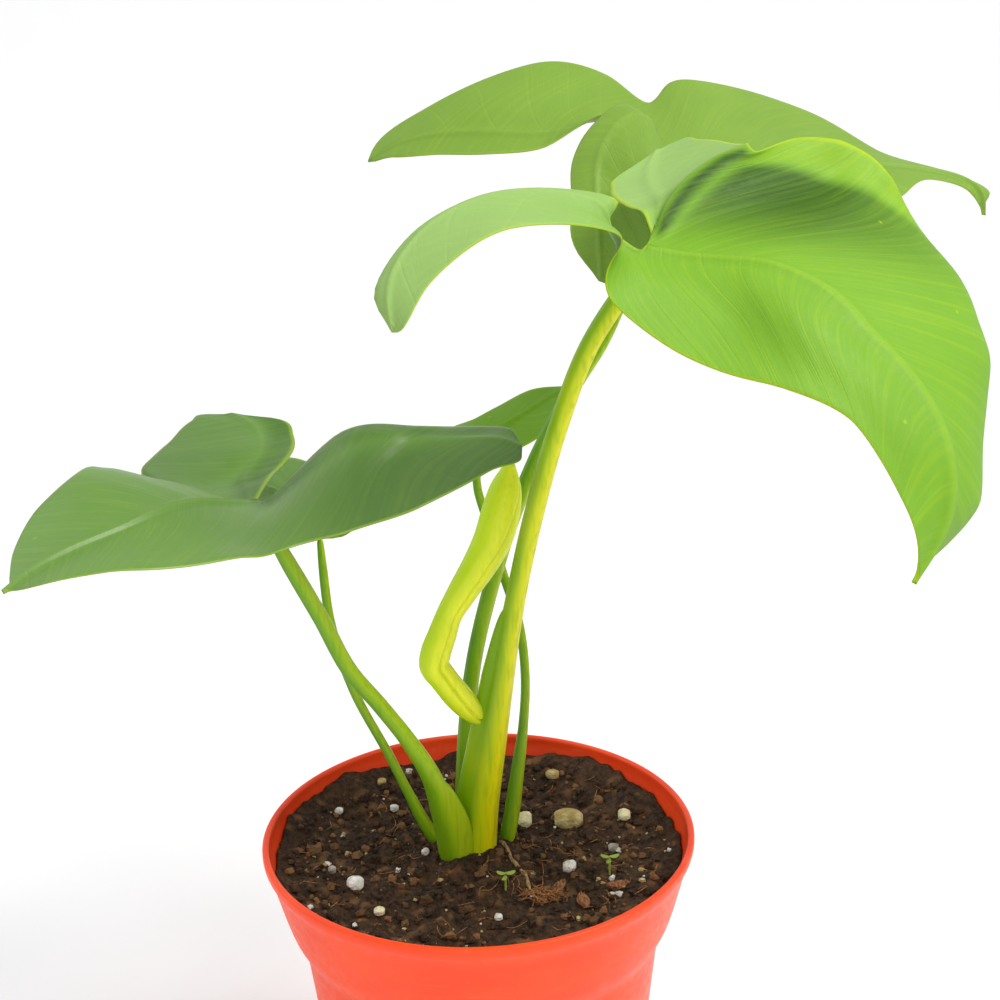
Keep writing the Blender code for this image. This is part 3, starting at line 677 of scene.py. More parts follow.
def leaf_finish(name, dark, light, vein, edge, under, painted_shade_green, gloss, sheen=0.0, painted_sheen=0.0):
    """Leaf skin: mottled green, pale ribs and veins, a bright rim, painted shade in the folds, painted light
    on a flare, a painted sheen, and a duller underside.
    """
    make = Finish(name, Specular_IOR_Level=0.26, Coat_Weight=sheen, Coat_Roughness=0.32)
    broad = make.grain(22, 2.0)
    fine = make.grain(1.6, 4.0)
    green = make.blend(make.fade(broad, 0.3, 0.72), dark, light)
    green = make.blend(make.fade(fine, 0.35, 0.8, 0.0, 0.28), green, light)
    terminal = make.mark("terminal")

    def side_veins(phase, period, width):
        step = make.math("FRACT", make.math("DIVIDE", phase, period))
        away = make.math("ABSOLUTE", make.math("SUBTRACT", step, 0.5))
        return make.fade(make.math("MULTIPLY", away, period), width, 0.0)

    def both(period, width):
        front = make.math("MULTIPLY", side_veins(make.mark("side_run"), period, width), terminal)
        rest = make.math("SUBTRACT", 1.0, terminal)
        rear = make.math("MULTIPLY", side_veins(make.mark("lobe_run"), period, width), rest)
        return make.math("ADD", front, rear)

    main = make.math("MULTIPLY", both(VEIN_STEP, 0.45), make.fade(broad, 0.25, 0.5, 0.35, 1.0))
    hair = make.math("MULTIPLY", both(HAIR_STEP, 0.30), make.fade(make.grain(7.0, 1.0), 0.3, 0.7))
    rib = make.math("MAXIMUM", make.fade(make.math("ABSOLUTE", make.mark("rib")), 0.95, 0.25),
                    make.fade(make.math("ABSOLUTE", make.mark("lobe_rib")), 0.8, 0.2, 0.0, 0.75))
    green = make.blend(make.math("MULTIPLY", hair, 0.16), green, vein)
    green = make.blend(make.math("MULTIPLY", main, 0.34), green, vein)
    # Painted light: the flare that stands up into the light is blended to the edge colour.
    green = make.blend(make.mark("painted_backlight"), green, edge)
    green = make.blend(make.math("MULTIPLY", rib, 0.72), green, vein)
    below = make.mark("under")
    green = make.blend(make.math("MULTIPLY", below, 0.8), green, under)
    outward = make.math("MULTIPLY", make.mark("rib_run"), 0.06)
    run = make.add("ShaderNodeCombineXYZ", {0: make.mark("side_run"), 1: outward})
    drawn = {"Vector": run.outputs[0], "Scale": 0.9, "Detail": 4.0, "Roughness": 0.6}
    streak = make.add("ShaderNodeTexNoise", drawn).outputs["Fac"]
    green = make.blend(make.fade(streak, 0.45, 0.75, 0.0, 0.22), green, edge)
    # Painted reflection of the sky, as a paler grey-green sheen over the rear lobes.
    green = make.blend(make.math("MULTIPLY", make.mark("painted_sheen"), painted_sheen), green, PAINTED_SHEEN_GREEN)
    # Painted shade: blended towards the dark fold colour where the leaf's shades function marks folds,
    # hollows and the sinus.
    painted_shade_share = make.math("MULTIPLY", make.mark("painted_shade"), make.fade(streak, 0.66, 0.36, 0.80, 1.0))
    green = make.blend(painted_shade_share, green, painted_shade_green)
    green = make.blend(make.fade(make.mark("rim"), 0.8, 0.1, 0.0, 0.7), green, edge)
    specks = make.fade(make.cells(17.0), 0.045, 0.02)
    green = make.blend(make.math("MULTIPLY", specks, 0.55), green, vein)
    make.bump(make.math("ADD", make.math("MULTIPLY", hair, 0.5), make.math("MULTIPLY", main, 1.2)), -0.05)
    make.bump(fine, 0.06)
    skin = make.fade(fine, 0.2, 0.8, gloss - 0.05, gloss + 0.08)
    rough = make.math("ADD", skin, make.math("MULTIPLY", below, 0.15))
    return make.done(green, rough, 0.30, make.blend(0.45, green, edge))


def stalk_finish(name, shade, middle, bright, gloss=0.36):
    """Stalk skin: fine long streaks, with painted shade on its left and painted light, a yellow flank, on its
    right and front.
    """
    make = Finish(name, Specular_IOR_Level=0.35)
    streaks = make.grain(0.9, 3.0, stretch=(1, 1, 16))
    broad = make.grain(12, 2.0, stretch=(1, 1, 3))
    # Painted shade towards the left and painted light towards the right, where the light falls.
    right = make.mark("to_right")
    base = make.blend(make.fade(right, -0.75, 0.1), shade, middle)
    base = make.blend(make.fade(right, -0.05, 0.75), base, bright)
    base = make.blend(make.fade(streaks, 0.42, 0.75, 0.0, 0.45), base, shade)
    base = make.blend(make.fade(broad, 0.45, 0.8, 0.0, 0.3), base, bright)
    make.bump(streaks, 0.10)
    return make.done(base, make.fade(streaks, 0.2, 0.8, gloss - 0.04, gloss + 0.08), 0.18, middle)


def pot_finish():
    """Orange-red moulded plastic: a satin skin with faint flow marks, dust and hairline scuffs."""
    make = Finish("pot_plastic", Specular_IOR_Level=0.32, Subsurface_Weight=0.12, Subsurface_Scale=0.003)
    make.shader.inputs["Subsurface Radius"].default_value = (1.0, 0.25, 0.08)
    flow = make.grain(26, 3.0, stretch=(1, 1, 0.35))
    dust = make.grain(2.2, 5.0)
    scuffs = make.grain(1.3, 2.0, stretch=(10, 10, 1))
    base = make.blend(make.fade(flow, 0.3, 0.75), (0.84, 0.052, 0.005), (0.91, 0.070, 0.008))
    base = make.blend(make.fade(dust, 0.58, 0.8, 0.0, 0.16), base, (0.80, 0.24, 0.12))
    base = make.blend(make.fade(scuffs, 0.66, 0.78, 0.0, 0.22), base, (0.95, 0.22, 0.10))
    make.bump(dust, 0.04)
    make.bump(flow, 0.10)
    return make.done(base, make.fade(dust, 0.25, 0.8, 0.34, 0.52))


def peat_finish(name, lighter=0.0):
    """Moist peat: near-black hollows, brown crumbs and rust-brown fibre ends."""
    make = Finish(name, Specular_IOR_Level=0.35)
    clods = make.grain(7.0, 4.0)
    crumbs = make.grain(1.5, 5.0, roughness=0.7)
    tone = make.mark("tone")
    base = make.blend(make.fade(crumbs, 0.32, 0.72), (0.006, 0.003, 0.001), (0.070, 0.030, 0.010))
    base = make.blend(make.fade(clods, 0.42, 0.78, 0.0, 0.6), base, (0.085, 0.038, 0.012))
    base = make.blend(make.fade(tone, 0.55, 1.0, 0.0, 0.55 + lighter), base, (0.26, 0.125, 0.045))
    base = make.blend(make.fade(make.cells(0.8), 0.30, 0.05, 0.0, 0.25), base, (0.22, 0.13, 0.08))
    make.bump(crumbs, 0.45)
    make.bump(clods, 0.5)
    return make.done(base, make.fade(crumbs, 0.2, 0.8, 0.98, 0.72))


def grit_finish(name, dark, light, pit=0.25):
    """Grit or perlite: mottled, pitted and matte, each bit in its own shade."""
    make = Finish(name, Specular_IOR_Level=0.3, Subsurface_Weight=0.1, Subsurface_Scale=0.002)
    blotch = make.grain(2.4, 4.0)
    pores = make.cells(0.7)
    base = make.blend(make.fade(blotch, 0.35, 0.7), dark, light)
    base = make.blend(make.fade(pores, 0.22, 0.0, 0.0, 0.5), base, dark)
    base = make.blend(make.fade(make.grain(1.0, 2.0), 0.66, 0.8, 0.0, 0.45), base, (0.16, 0.09, 0.05))
    make.bump(pores, pit)
    make.bump(blotch, 0.3)
    return make.done(base, make.fade(blotch, 0.2, 0.8, 0.75, 0.95))


def fibre_finish(name, dark, light):
    """Woody fibre, drawn out along the grain."""
    make = Finish(name, Specular_IOR_Level=0.3)
    streak = make.grain(0.5, 4.0, stretch=(1, 4, 1))
    blotch = make.grain(3.0, 2.0)
    base = make.blend(make.fade(streak, 0.3, 0.75), dark, light)
    base = make.blend(make.fade(blotch, 0.5, 0.8, 0.0, 0.5), base, dark)
    make.bump(streak, 0.2)
    return make.done(base, make.fade(streak, 0.2, 0.8, 0.9, 0.7))


# ---------------------------------------------------------------- pieces


# Each blade's vein scale, which is the millimetres of vein pattern in one leaf length, and its slot.
BLADES = {
    "blade_front": (84.0, "leaf_bright"),
    "blade_left": (88.0, "leaf_deep"),
    "blade_back": (116.0, "leaf_pale"),
    "blade_rear": (32.0, "leaf_pale"),
    "blade_left_rear": (54.0, "leaf_deep"),
}
LOBE_VEIN = ((0.0, 0.0), (0.10, -0.16), (0.19, -0.33), (0.265, -0.50))


def lobe_vein_distance(flat):
    """Signed distance from the curved vein of the rear lobe, and how far along it, in leaf lengths."""
    route = np.array(LOBE_VEIN)
    steps = np.linspace(0.0, 1.0, 61)
    knots = np.linspace(0.0, 1.0, len(route))
    line = np.column_stack([np.interp(steps, knots, route[:, axis]) for axis in (0, 1)])
    line = hermite(np.column_stack([knots, route]), steps)
    run = np.gradient(line, axis=0)
    length = np.concatenate([[0.0], np.cumsum(np.linalg.norm(np.diff(line, axis=0), axis=1))])
    run /= np.linalg.norm(run, axis=1)[:, None]
    from_line = flat[:, None] - line[None]
    nearest = np.argmin(np.linalg.norm(from_line, axis=2), axis=1)
    away = from_line[np.arange(len(flat)), nearest]
    here = run[nearest]
    return here[:, 0] * away[:, 1] - here[:, 1] * away[:, 0], length[nearest] + (away * here).sum(axis=1)


def rise(value, start, end):
    """From 0 at start to 1 at end, easing by 3t^2 - 2t^3."""
    part = np.clip((value - start) / (end - start), 0.0, 1.0)
    return part * part * (3.0 - 2.0 * part)


def no_shades(_side, along, _across):
    """Neither painted light nor painted shade. Every shades function gives these two for points of a half
    leaf.
    """
    return 0.0 * along, 0.0 * along


def front_shades(side, along, across):
    """Painted shade and light for the front leaf. On its far half: painted shade on the ridge by the stalk
    and in the hollow beside it, and painted light on the flare outside. On its near half: painted shade at a
    knuckle by the stalk.
    """
    far = float(side < 0)
    # Painted shade along the ridge by the stalk.
    ridge = np.exp(-(((along - 0.672) / 0.020) ** 2)) * rise(across, 0.06, 0.2)
    ridge = ridge * (1.0 - rise(across, 0.9, 1.0))
    hollow_shade = rise(along, 0.34, 0.56) * (1.0 - rise(along, 0.62, 0.655))
    hollow_shade = hollow_shade * rise(across, 0.05, 0.62) * (1.0 - rise(across, 0.76, 0.84))
    flare_light = rise(across, 0.80, 0.88) * rise(along, 0.40, 0.46) * (1.0 - rise(along, 0.62, 0.66))
    knuckle_shade = np.exp(-(((along - 0.71) / 0.03) ** 2)) * rise(across, 0.5, 0.9) * 0.7
    # Gives the flare's painted light first, then the painted shade.
    return far * 0.9 * flare_light, np.where(side < 0, np.maximum(ridge, 0.92 * hollow_shade), knuckle_shade)


def left_shades(side, along, across):
    """Painted shade: darker green over the near rear lobe and down into the sinus."""
    lobe = rise(along, 0.62, 0.80) * rise(across, 0.1, 0.5)
    sinus = rise(along, 0.58, 0.68) * (1.0 - rise(across, 0.1, 0.4))
    return 0.0 * along, np.maximum((0.5 if side < 0 else 0.3) * lobe, 0.6 * sinus)


def half_blade(place, side, shades, rows, columns, length):
    """One half of a blade as an open grid, with its vein marks, and its puckers as heights over the skin."""
    share = np.linspace(0.0, 1.0, rows)[:, None] + np.zeros((1, columns))
    across = np.linspace(0.0, 1.0, columns)[None, :] + np.zeros((rows, 1))
    along, across = share.ravel(), across.ravel()
    flat = flat_leaf(side, along, across)
    points = place(flat)
    mirrored = flat * (side, 1.0)
    lobe, lobe_run = lobe_vein_distance(mirrored)
    rib = mirrored[:, 0]
    terminal = np.clip((mirrored[:, 1] + 0.10 + 0.25 * mirrored[:, 0]) / 0.10, 0.0, 1.0)
    side_run = mirrored[:, 1] - 0.62 * rib - 0.55 * rib**2
    lobe_side = lobe_run - 0.75 * np.abs(lobe)
    margin = np.minimum(np.abs(1.0 - across) * 0.36, np.abs(flat[:, 1] - 1.0) + 0.02)
    inner = np.where(along > STALK, across * 0.20, 1.0)
    marks = {
        "rib": np.where(mirrored[:, 1] > 0.0, rib, np.hypot(rib, mirrored[:, 1])) * length,
        "lobe_rib": np.where(lobe_run > 0.01, lobe, 1.0) * length,
        "side_run": side_run * length,
        "lobe_run": lobe_side * length,
        "terminal": terminal,
        "rim": np.minimum(margin, inner) * length,
        "rib_run": rib * length,
    }
    marks["painted_backlight"], marks["painted_shade"] = shades(side, along, across)
    # Where the painted sheen lies: over the rear lobes, rising from the stalk towards their ends.
    marks["painted_sheen"] = rise(along, 0.66, 0.86)
    bulge = np.sin(2 * np.pi * side_run * length / VEIN_STEP + 0.8) * terminal
    bulge += np.sin(2 * np.pi * lobe_side * length / VEIN_STEP) * (1.0 - terminal)
    fade = np.clip(rib / 0.05, 0.0, 1.0) * np.clip((1.0 - across) / 0.25, 0.0, 1.0)
    relief = 0.05 * bulge * fade
    relief += 0.5 * (noise(np.column_stack([flat * length, 0 * along]), 13.0, seed=3) - 0.5) * fade
    relief -= 0.55 * np.exp(-((rib * length / 1.1) ** 2)) * (mirrored[:, 1] > -0.02)
    relief -= 0.28 * np.exp(-((lobe * length / 1.0) ** 2)) * (lobe_run > 0.02)
    faces = grid_faces(rows, columns)
    if side < 0:
        faces = faces[:, ::-1]
    return points, faces, marks, relief


def make_blade(name, pins, finish, shades, rows=150, columns=36):
    """A blade: both halves bent into place and closed round. Its skin stands off the sheet by half the
    thickness, plus the relief above, and less the relief but plus the ribs below."""
    length, slot = BLADES[name]
    place = leaf_bending(pins)
    halves, reliefs = [], []
    for side in (1.0, -1.0):
        points, faces, marks, relief = half_blade(place, side, shades, rows, columns, length)
        halves.append((points, faces, marks))
        reliefs.append(relief)
    points, faces, marks = joined(halves)
    relief = np.concatenate(reliefs)
    bulge = 0.75 * np.exp(-((marks["rib"] / 0.9) ** 2)) + 0.25 * np.exp(-((marks["lobe_rib"] / 0.7) ** 2))
    half = 0.5 * BLADE_THICKNESS
    thin = 0.45 + 0.55 * np.clip(marks["rim"] / 1.2, 0.0, 1.0)
    above = half * thin + relief
    below = half * thin - relief + bulge
    skin, all_faces, marks = thick_sheet(points, faces, above, below, marks)
    return surface(name + "_leaf", skin, all_faces, finish, [name], marks)


def make_stalk(name, finish, sheath=None, around=48, steps=150):
    """A leaf stalk: a tube whose radius at angle a and share s is r (1 + 0.018 cos(9 a + 5 s)).

    It has a groove along its front, or the wing of a sheath low down. sheath holds how far up the wing
    reaches, how far it stands off, and the angle it faces.
    """
    route = smooth_route(STALKS[name], steps)
    angle = np.linspace(0.0, 2 * np.pi, around, endpoint=False)[None, :]
    up = np.linspace(0.0, 1.0, steps)[:, None]
    radius = route[:, 3:4] * np.ones((1, around))
    facing = sheath[2] if sheath else -0.5 * np.pi
    turned_away = np.abs(np.angle(np.exp(1j * (angle - facing))))
    if not sheath:
        radius = radius * (1.0 - 0.16 * np.exp(-((turned_away / 0.36) ** 2)))
    radius = radius * (1.0 + 0.018 * np.cos(9 * angle + 5 * up))
    if sheath:
        top, stand, _ = sheath
        wing = np.exp(-((turned_away / 0.34) ** 2)) * np.sqrt(np.clip((top - up) / 0.10, 0.0, 1.0))
        wing = wing * np.clip(up / 0.12, 0.0, 1.0)
        radius = radius + stand * wing
    radius = radius * np.clip(0.55 + up / 0.02, 0.0, 1.0) * np.clip(0.75 + (1.0 - up) / 0.01, 0.0, 1.0)
    points, faces, marks = tube(route, around, radius)
    return surface(name + "_skin", points.reshape(-1, 3), faces, finish, [name], marks)


def make_rolled_leaf(finish, around=96, steps=170):
    """The unopened leaf, a rolled blade: a tube of radius r (0.84 + 0.20 w), where w goes from 0 to 1 once
    round from its free edge, less a slit by that edge, and times its creases."""
    route = smooth_route(ROLLED_LEAF, steps)
    angle = np.linspace(0.0, 2 * np.pi, around, endpoint=False)[None, :]
    up = np.linspace(0.0, 1.0, steps)[:, None]
    edge = -1.75 + 1.1 * up + 0.25 * np.sin(7 * up)
    wound = np.mod(angle - edge, 2 * np.pi) / (2 * np.pi)
    radius = route[:, 3:4] * (0.84 + 0.20 * wound)
    slit = 0.22 * np.exp(-((wound / 0.035) ** 2))
    lip = 0.14 * np.exp(-(((wound - 1.0) / 0.02) ** 2))
    radius = radius * (1.0 - slit - lip)
    creases = np.cos(5 * angle + 9 * up) + 0.6 * np.cos(11 * angle - 14 * up)
    radius = radius * (1.0 + 0.022 * creases * np.sin(np.pi * up))
    points, faces, marks = tube(route, around, radius)
    return surface("new_leaf", points.reshape(-1, 3), faces, finish, ["rolled_leaf"], marks)


def spun(name, profile, around, finish, node):
    """A closed body of revolution: (radius cos a, radius sin a, height) for each corner of a profile."""
    profile = np.array(profile, float)
    angle = np.linspace(0.0, 2 * np.pi, around, endpoint=False)
    ring = np.stack([np.cos(angle), np.sin(angle)], axis=1)
    rounds = profile[:, None, :1] * ring[None]
    points = np.concatenate([rounds, np.repeat(profile[:, None, 1:], around, axis=1)], axis=2)
    faces = grid_faces(len(profile), around, closed=True)
    return surface(name, points.reshape(-1, 3), faces, finish, [node])


def rounded(corners, radii, steps=5):
    """A path of (radius, height) corners, each rounded off by a curve of its own size.

    At share s the curve is (1 - s)^2 of its first point, 2 s (1 - s) of the corner and s^2 of its last.
    """
    corners = np.array(corners, float)
    path = [corners[:1]]
    for index in range(1, len(corners) - 1):
        before, here, after = corners[index - 1:index + 2]
        size = radii[index]
        if size == 0:
            path.append(here[None])
            continue
        first = here + (before - here) * min(size / np.linalg.norm(before - here), 0.45)
        last = here + (after - here) * min(size / np.linalg.norm(after - here), 0.45)
        share = np.linspace(0.0, 1.0, steps)[:, None]
        path.append((1 - share) ** 2 * first + 2 * share * (1 - share) * here + share**2 * last)
    path.append(corners[-1:])
    return np.concatenate(path)


def make_pot(finish):
    """The nursery pot: its rounded profile turned about Z, with the drain holes cut through its floor."""
    outer = [
        (0.0, 0.0), (FOOT_RADIUS, 0.0), (NECK_RADIUS - 0.3, NECK_HEIGHT - 1.0),
        (NECK_RADIUS + 2.9, NECK_HEIGHT + 4.2), (NECK_RADIUS + 4.6, NECK_HEIGHT + 9.5),
        (RIM_RADIUS - 1.5, POT_HEIGHT - 5.0), (RIM_RADIUS, POT_HEIGHT - 2.6),
        (RIM_RADIUS, POT_HEIGHT), (RIM_RADIUS - 1.9, POT_HEIGHT), (RIM_RADIUS - 2.1, POT_HEIGHT - 2.6),
        (RIM_RADIUS - 3.4, POT_HEIGHT - 6.5), (NECK_RADIUS + 3.2, NECK_HEIGHT + 9.5),
        (NECK_RADIUS + 1.4, NECK_HEIGHT + 4.0), (NECK_RADIUS - 1.5, NECK_HEIGHT - 1.0),
        (FOOT_RADIUS - POT_WALL, FLOOR_THICKNESS), (0.0, FLOOR_THICKNESS),
    ]
    radii = (0, 1.5, 1.6, 2.4, 5.0, 3.0, 1.2, 0.9, 0.9, 1.2, 3.0, 4.0, 2.4, 1.6, 1.0, 0)
    pot = spun("nursery_pot", rounded(outer, radii), POT_SEGMENTS, finish, "pot")
    bm = bmesh.new()
    for number in range(DRAIN_COUNT):
        turn = 2 * np.pi * (number + 0.5) / DRAIN_COUNT
        place = (DRAIN_CIRCLE * np.cos(turn) * MM, DRAIN_CIRCLE * np.sin(turn) * MM, 0.0)
        size = DRAIN_RADIUS * MM
        bmesh.ops.create_cone(
            bm, cap_ends=True, segments=32, radius1=size, radius2=size, depth=0.01,
            matrix=Matrix.Translation(place),
        )
    mesh = bpy.data.meshes.new("drains")
    bm.to_mesh(mesh)
    bm.free()
    drains = bpy.data.objects.new("drains", mesh)
    bpy.context.scene.collection.objects.link(drains)
    cutter = pot.modifiers.new("drains", "BOOLEAN")
    cutter.operation = "DIFFERENCE"
    cutter.object = drains
    cutter.solver = "EXACT"
    made = bpy.data.meshes.new_from_object(pot.evaluated_get(bpy.context.evaluated_depsgraph_get()))
    pot.modifiers.clear()
    pot.data = made
    bpy.data.objects.remove(drains)
    return pot


def soil_height(x, y):
    """Height of the peat: a cone that falls by SOIL_FALL, noise of 14, 4.3 and 1.6 mm, a mound exp(-(r/13)^2)
    at the crown, a bank that grows as the square towards the wall, and one shallow dip."""
    flat = np.stack([x, y, np.zeros_like(x)], axis=-1)
    radius = np.hypot(x, y)
    height = SOIL_CENTRE - SOIL_FALL * (radius / SOIL_RADIUS) - 0.3
    height = height + 3.6 * (noise(flat, 14.0, seed=1) - 0.5)
    height = height + 2.2 * (noise(flat, 4.3, seed=2) - 0.5)
    height = height + 0.9 * (noise(flat, 1.6, seed=5) - 0.5)
    crown = np.hypot(x - CROWN[0], y - CROWN[1])
    height = height + 5.4 * np.exp(-((crown / 13.0) ** 2))
    bank = np.clip((radius - 30.0) / 26.0, 0.0, 1.0) ** 2
    height = height + bank * np.interp(y, (-45.0, -15.0, 30.0, 50.0), (0.6, 5.0, 6.8, 7.6))
    height = height + bank * np.interp(x, (-50.0, -25.0), (1.6, 0.0))
    return height - 1.2 * np.exp(-(((x + 24.0) / 16.0) ** 2) - ((y - 26.0) / 16.0) ** 2)


def wall_inside(height):
    """Inner radius of the pot's wall at a height, straight between stations, and 0.25 mm clear of it."""
    stations = (
        (FLOOR_THICKNESS, FOOT_RADIUS - 1.5), (NECK_HEIGHT - 2.0, NECK_RADIUS - 1.7),
        (NECK_HEIGHT + 4.0, NECK_RADIUS + 1.2), (NECK_HEIGHT + 9.5, NECK_RADIUS + 3.0),
        (POT_HEIGHT - 6.5, RIM_RADIUS - 3.6), (POT_HEIGHT - 2.6, RIM_RADIUS - 2.3),
    )
    heights, radii = zip(*stations)
    return np.interp(height, heights, radii) - 0.25


def make_soil(finish, rings=150, around=360):
    """The root ball: (r cos a, r sin a, soil_height) for its top, carried down the wall and closed below."""
    turn = np.linspace(0.0, 2 * np.pi, around, endpoint=False)[None, :]
    share = np.linspace(0.0, 1.0, rings)[:, None]
    # The wall leans, so the edge of the top is found again at the peat's own height.
    edge = wall_inside(SOIL_CENTRE)
    for _ in range(3):
        edge = wall_inside(soil_height(edge * np.cos(turn), edge * np.sin(turn)))
    radius = edge * share
    x, y = radius * np.cos(turn), radius * np.sin(turn)
    top = np.stack([x, y, soil_height(x, y)], axis=-1)
    depths = (90.0, 84.0, 76.0, 40.0, SOIL_FOOT)
    low = np.stack([0 * turn + depth for depth in depths])[:, 0]
    side_radius = wall_inside(low[:, :1]) * np.ones((1, around))
    side = np.stack([side_radius * np.cos(turn), side_radius * np.sin(turn), low], axis=-1)
    middle = np.repeat(np.array([[[0.0, 0.0, SOIL_FOOT]]]), around, axis=1)
    points = np.concatenate([top, side, middle])
    faces = grid_faces(len(points), around, closed=True)[:, ::-1]
    tone = np.concatenate([noise(top, 2.6, seed=8).ravel(), np.zeros((len(low) + 1) * around)])
    return surface("peat", points.reshape(-1, 3), faces, finish, ["soil"], {"tone": tone})


def settled(node):
    """The two corners of a node's box, lifted or lowered so that it rests on the peat."""
    low, high = (np.array(corner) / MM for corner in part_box(node))
    middle = 0.5 * (low + high)
    lift = np.array([0.0, 0.0, soil_height(middle[0], middle[1]) - low[2]])
    return low + lift, high + lift


def stone(name, low, high, finish, slot, node, seed, rough=0.12, rows=30, around=44):
    """A bit of grit: a ball's directions times 1 + noise, each axis held to 0.86 so that flats show, times
    1.08 of half its box, and sunk by 0.22 of its half height."""
    unit, faces = ball(rows, around)
    swell = 1.0 + rough * 2.0 * (noise(unit + seed, 0.9, seed) - 0.5)
    swell = swell + 0.5 * rough * (noise(unit + seed, 0.33, seed) - 0.5)
    half = 0.5 * (high - low)
    flats = unit * swell[..., None]
    flats = np.sign(flats) * np.minimum(np.abs(flats), 0.86)
    points = 0.5 * (high + low) + flats * half * 1.08 - np.array([0.0, 0.0, 0.22 * half[2]])
    return surface(name, points.reshape(-1, 3), faces, finish, node)


def spun_about(points, turn):
    """Points turned about Z by this angle: x cos - y sin, x sin + y cos, and z as it was."""
    cos, sin = np.cos(turn), np.sin(turn)
    x, y, z = points[..., 0], points[..., 1], points[..., 2]
    return np.stack([x * cos - y * sin, x * sin + y * cos, z], axis=-1)


def scattered(count, reach, seed):
    """Fixed places over the soil: (r cos t, r sin t), where r is reach * sqrt(hashed) and t is hashed."""
    index = np.arange(count)
    cells = np.stack([index, index * 0 + 7, index * 0 + 3], axis=1).astype(float)
    radius = reach * np.sqrt(hashed(cells, seed))
    turn = 2 * np.pi * hashed(cells + 91.0, seed + 2)
    return radius * np.cos(turn), radius * np.sin(turn), cells


def make_crumbs(name, count, smallest, largest, finish, seed, sunk=0.25, node=(), flat=0.8):
    """Loose crumbs as one piece: each is a ball of a few faces times its size, stretch and rough radius."""
    x, y, cells = scattered(count, wall_inside(SOIL_CENTRE) - 2.2, seed)
    size = smallest + (largest - smallest) * hashed(cells + 5.0, seed) ** 3
    unit, faces = ball(5, 6)
    unit = unit.reshape(-1, 3)
    ridge = 1.0 + 0.7 * (hashed(np.round(unit[None] * 3) + cells[:, None] * 1.7, seed) - 0.5)
    turn = 2 * np.pi * hashed(cells + 11.0, seed)
    stretch = np.stack([1.0 + 0.5 * hashed(cells + 2.0, seed), np.ones(count), flat + 0 * x], axis=1)
    body = unit[None] * ridge[..., None] * stretch[:, None] * size[:, None, None]
    turned = spun_about(body, turn[:, None])
    middle = np.stack([x, y, soil_height(x, y) + size * (0.6 - sunk)], axis=1)
    points = turned + middle[:, None]
    rows = np.arange(count)[:, None, None] * len(unit)
    all_faces = (faces[None] + rows).reshape(-1, 4)
    tone = np.repeat(hashed(cells + 31.0, seed), len(unit))
    return surface(name, points.reshape(-1, 3), all_faces, finish, node, {"tone": tone}, smooth=False)


def make_fibres(name, count, length, thickness, finish, seed, centre=None, spread=0.0):
    """Loose fibres: thin threads, each a line of reach r bent aside by curl r s^2, for s from -0.5 to 0.5.

    They lie over all the soil, or in a tuft round a centre.
    """
    x, y, cells = scattered(count, wall_inside(SOIL_CENTRE) - 5.0, seed)
    if centre:
        share = np.hypot(x, y) / (wall_inside(SOIL_CENTRE) - 5.0)
        turn = np.arctan2(y, x)
        x, y = centre[0] + spread * share * np.cos(turn), centre[1] + spread * share * np.sin(turn)
    parts = []
    for number in range(count):
        heading = 2 * np.pi * hashed(cells[number] + 3.0, seed + 4)
        curl = 2.4 * (hashed(cells[number] + 6.0, seed + 5) - 0.5)
        reach = length * (0.5 + 0.8 * hashed(cells[number] + 9.0, seed + 6))
        steps = np.linspace(-0.5, 0.5, 7)
        line_x = x[number] + reach * steps * np.cos(heading) - curl * reach * steps**2 * np.sin(heading)
        line_y = y[number] + reach * steps * np.sin(heading) + curl * reach * steps**2 * np.cos(heading)
        lift = 0.7 + (1.4 if centre else 0.5) * hashed(cells[number] + 12.0, seed + 7) + 0.8 * curl * steps
        route = np.stack([line_x, line_y, soil_height(line_x, line_y) + lift], axis=1)
        taper = thickness * np.sqrt(np.clip(1.05 - 4 * steps**2, 0.02, 1.0))
        points, faces, _ = tube(route, 5, taper[:, None] * np.ones((1, 5)))
        parts.append((points, faces, {"tone": np.full(points.shape[:2], hashed(cells[number], seed))}))
    points, faces, marks = joined(parts)
    return surface(name, points, faces, finish, (), marks)


# Where each chip of bark points, in degrees from +X.
CHIP_HEADINGS = {"bark_centre": 60.0, "bark_front": 100.0, "bark_right": 15.0}


def make_chip(node, finish, seed, rows=40, around=28):
    """A splinter of bark. At share s and angle a it is length s along its heading, width cos a across it and
    0.75 sin a + 1.3 s^2 up, with seven grooves along it and ends that close."""
    low, high = settled(node)
    middle = 0.5 * (low + high)
    span = high[:2] - low[:2]
    turn = np.radians(CHIP_HEADINGS[node])
    length = 0.98 * np.hypot(*span)
    along = np.linspace(-0.5, 0.5, rows)[:, None]
    angle = np.linspace(0.0, 2 * np.pi, around, endpoint=False)[None, :]
    width = 1.45 * (1.0 - 0.55 * np.abs(2 * along) ** 3) * (1.0 + 0.12 * np.sin(9 * along + seed))
    grooves = 1.0 + 0.16 * np.cos(7 * angle + 2 * along)
    ends = np.sqrt(np.clip(1.0 - (2 * along) ** 8, 0.0, 1.0))
    aside = width * np.cos(angle) * grooves * ends
    above = 0.75 * np.sin(angle) * grooves * ends + 1.3 * along**2
    run = length * along * (1.0 + 0.05 * np.cos(3 * angle + seed))
    points = np.stack([
        middle[0] + run * np.cos(turn) - aside * np.sin(turn),
        middle[1] + run * np.sin(turn) + aside * np.cos(turn),
        middle[2] + above + 0 * run,
    ], axis=-1)
    faces = grid_faces(rows, around, closed=True)
    return surface(node + "_chip", points.reshape(-1, 3), faces, finish, [node])


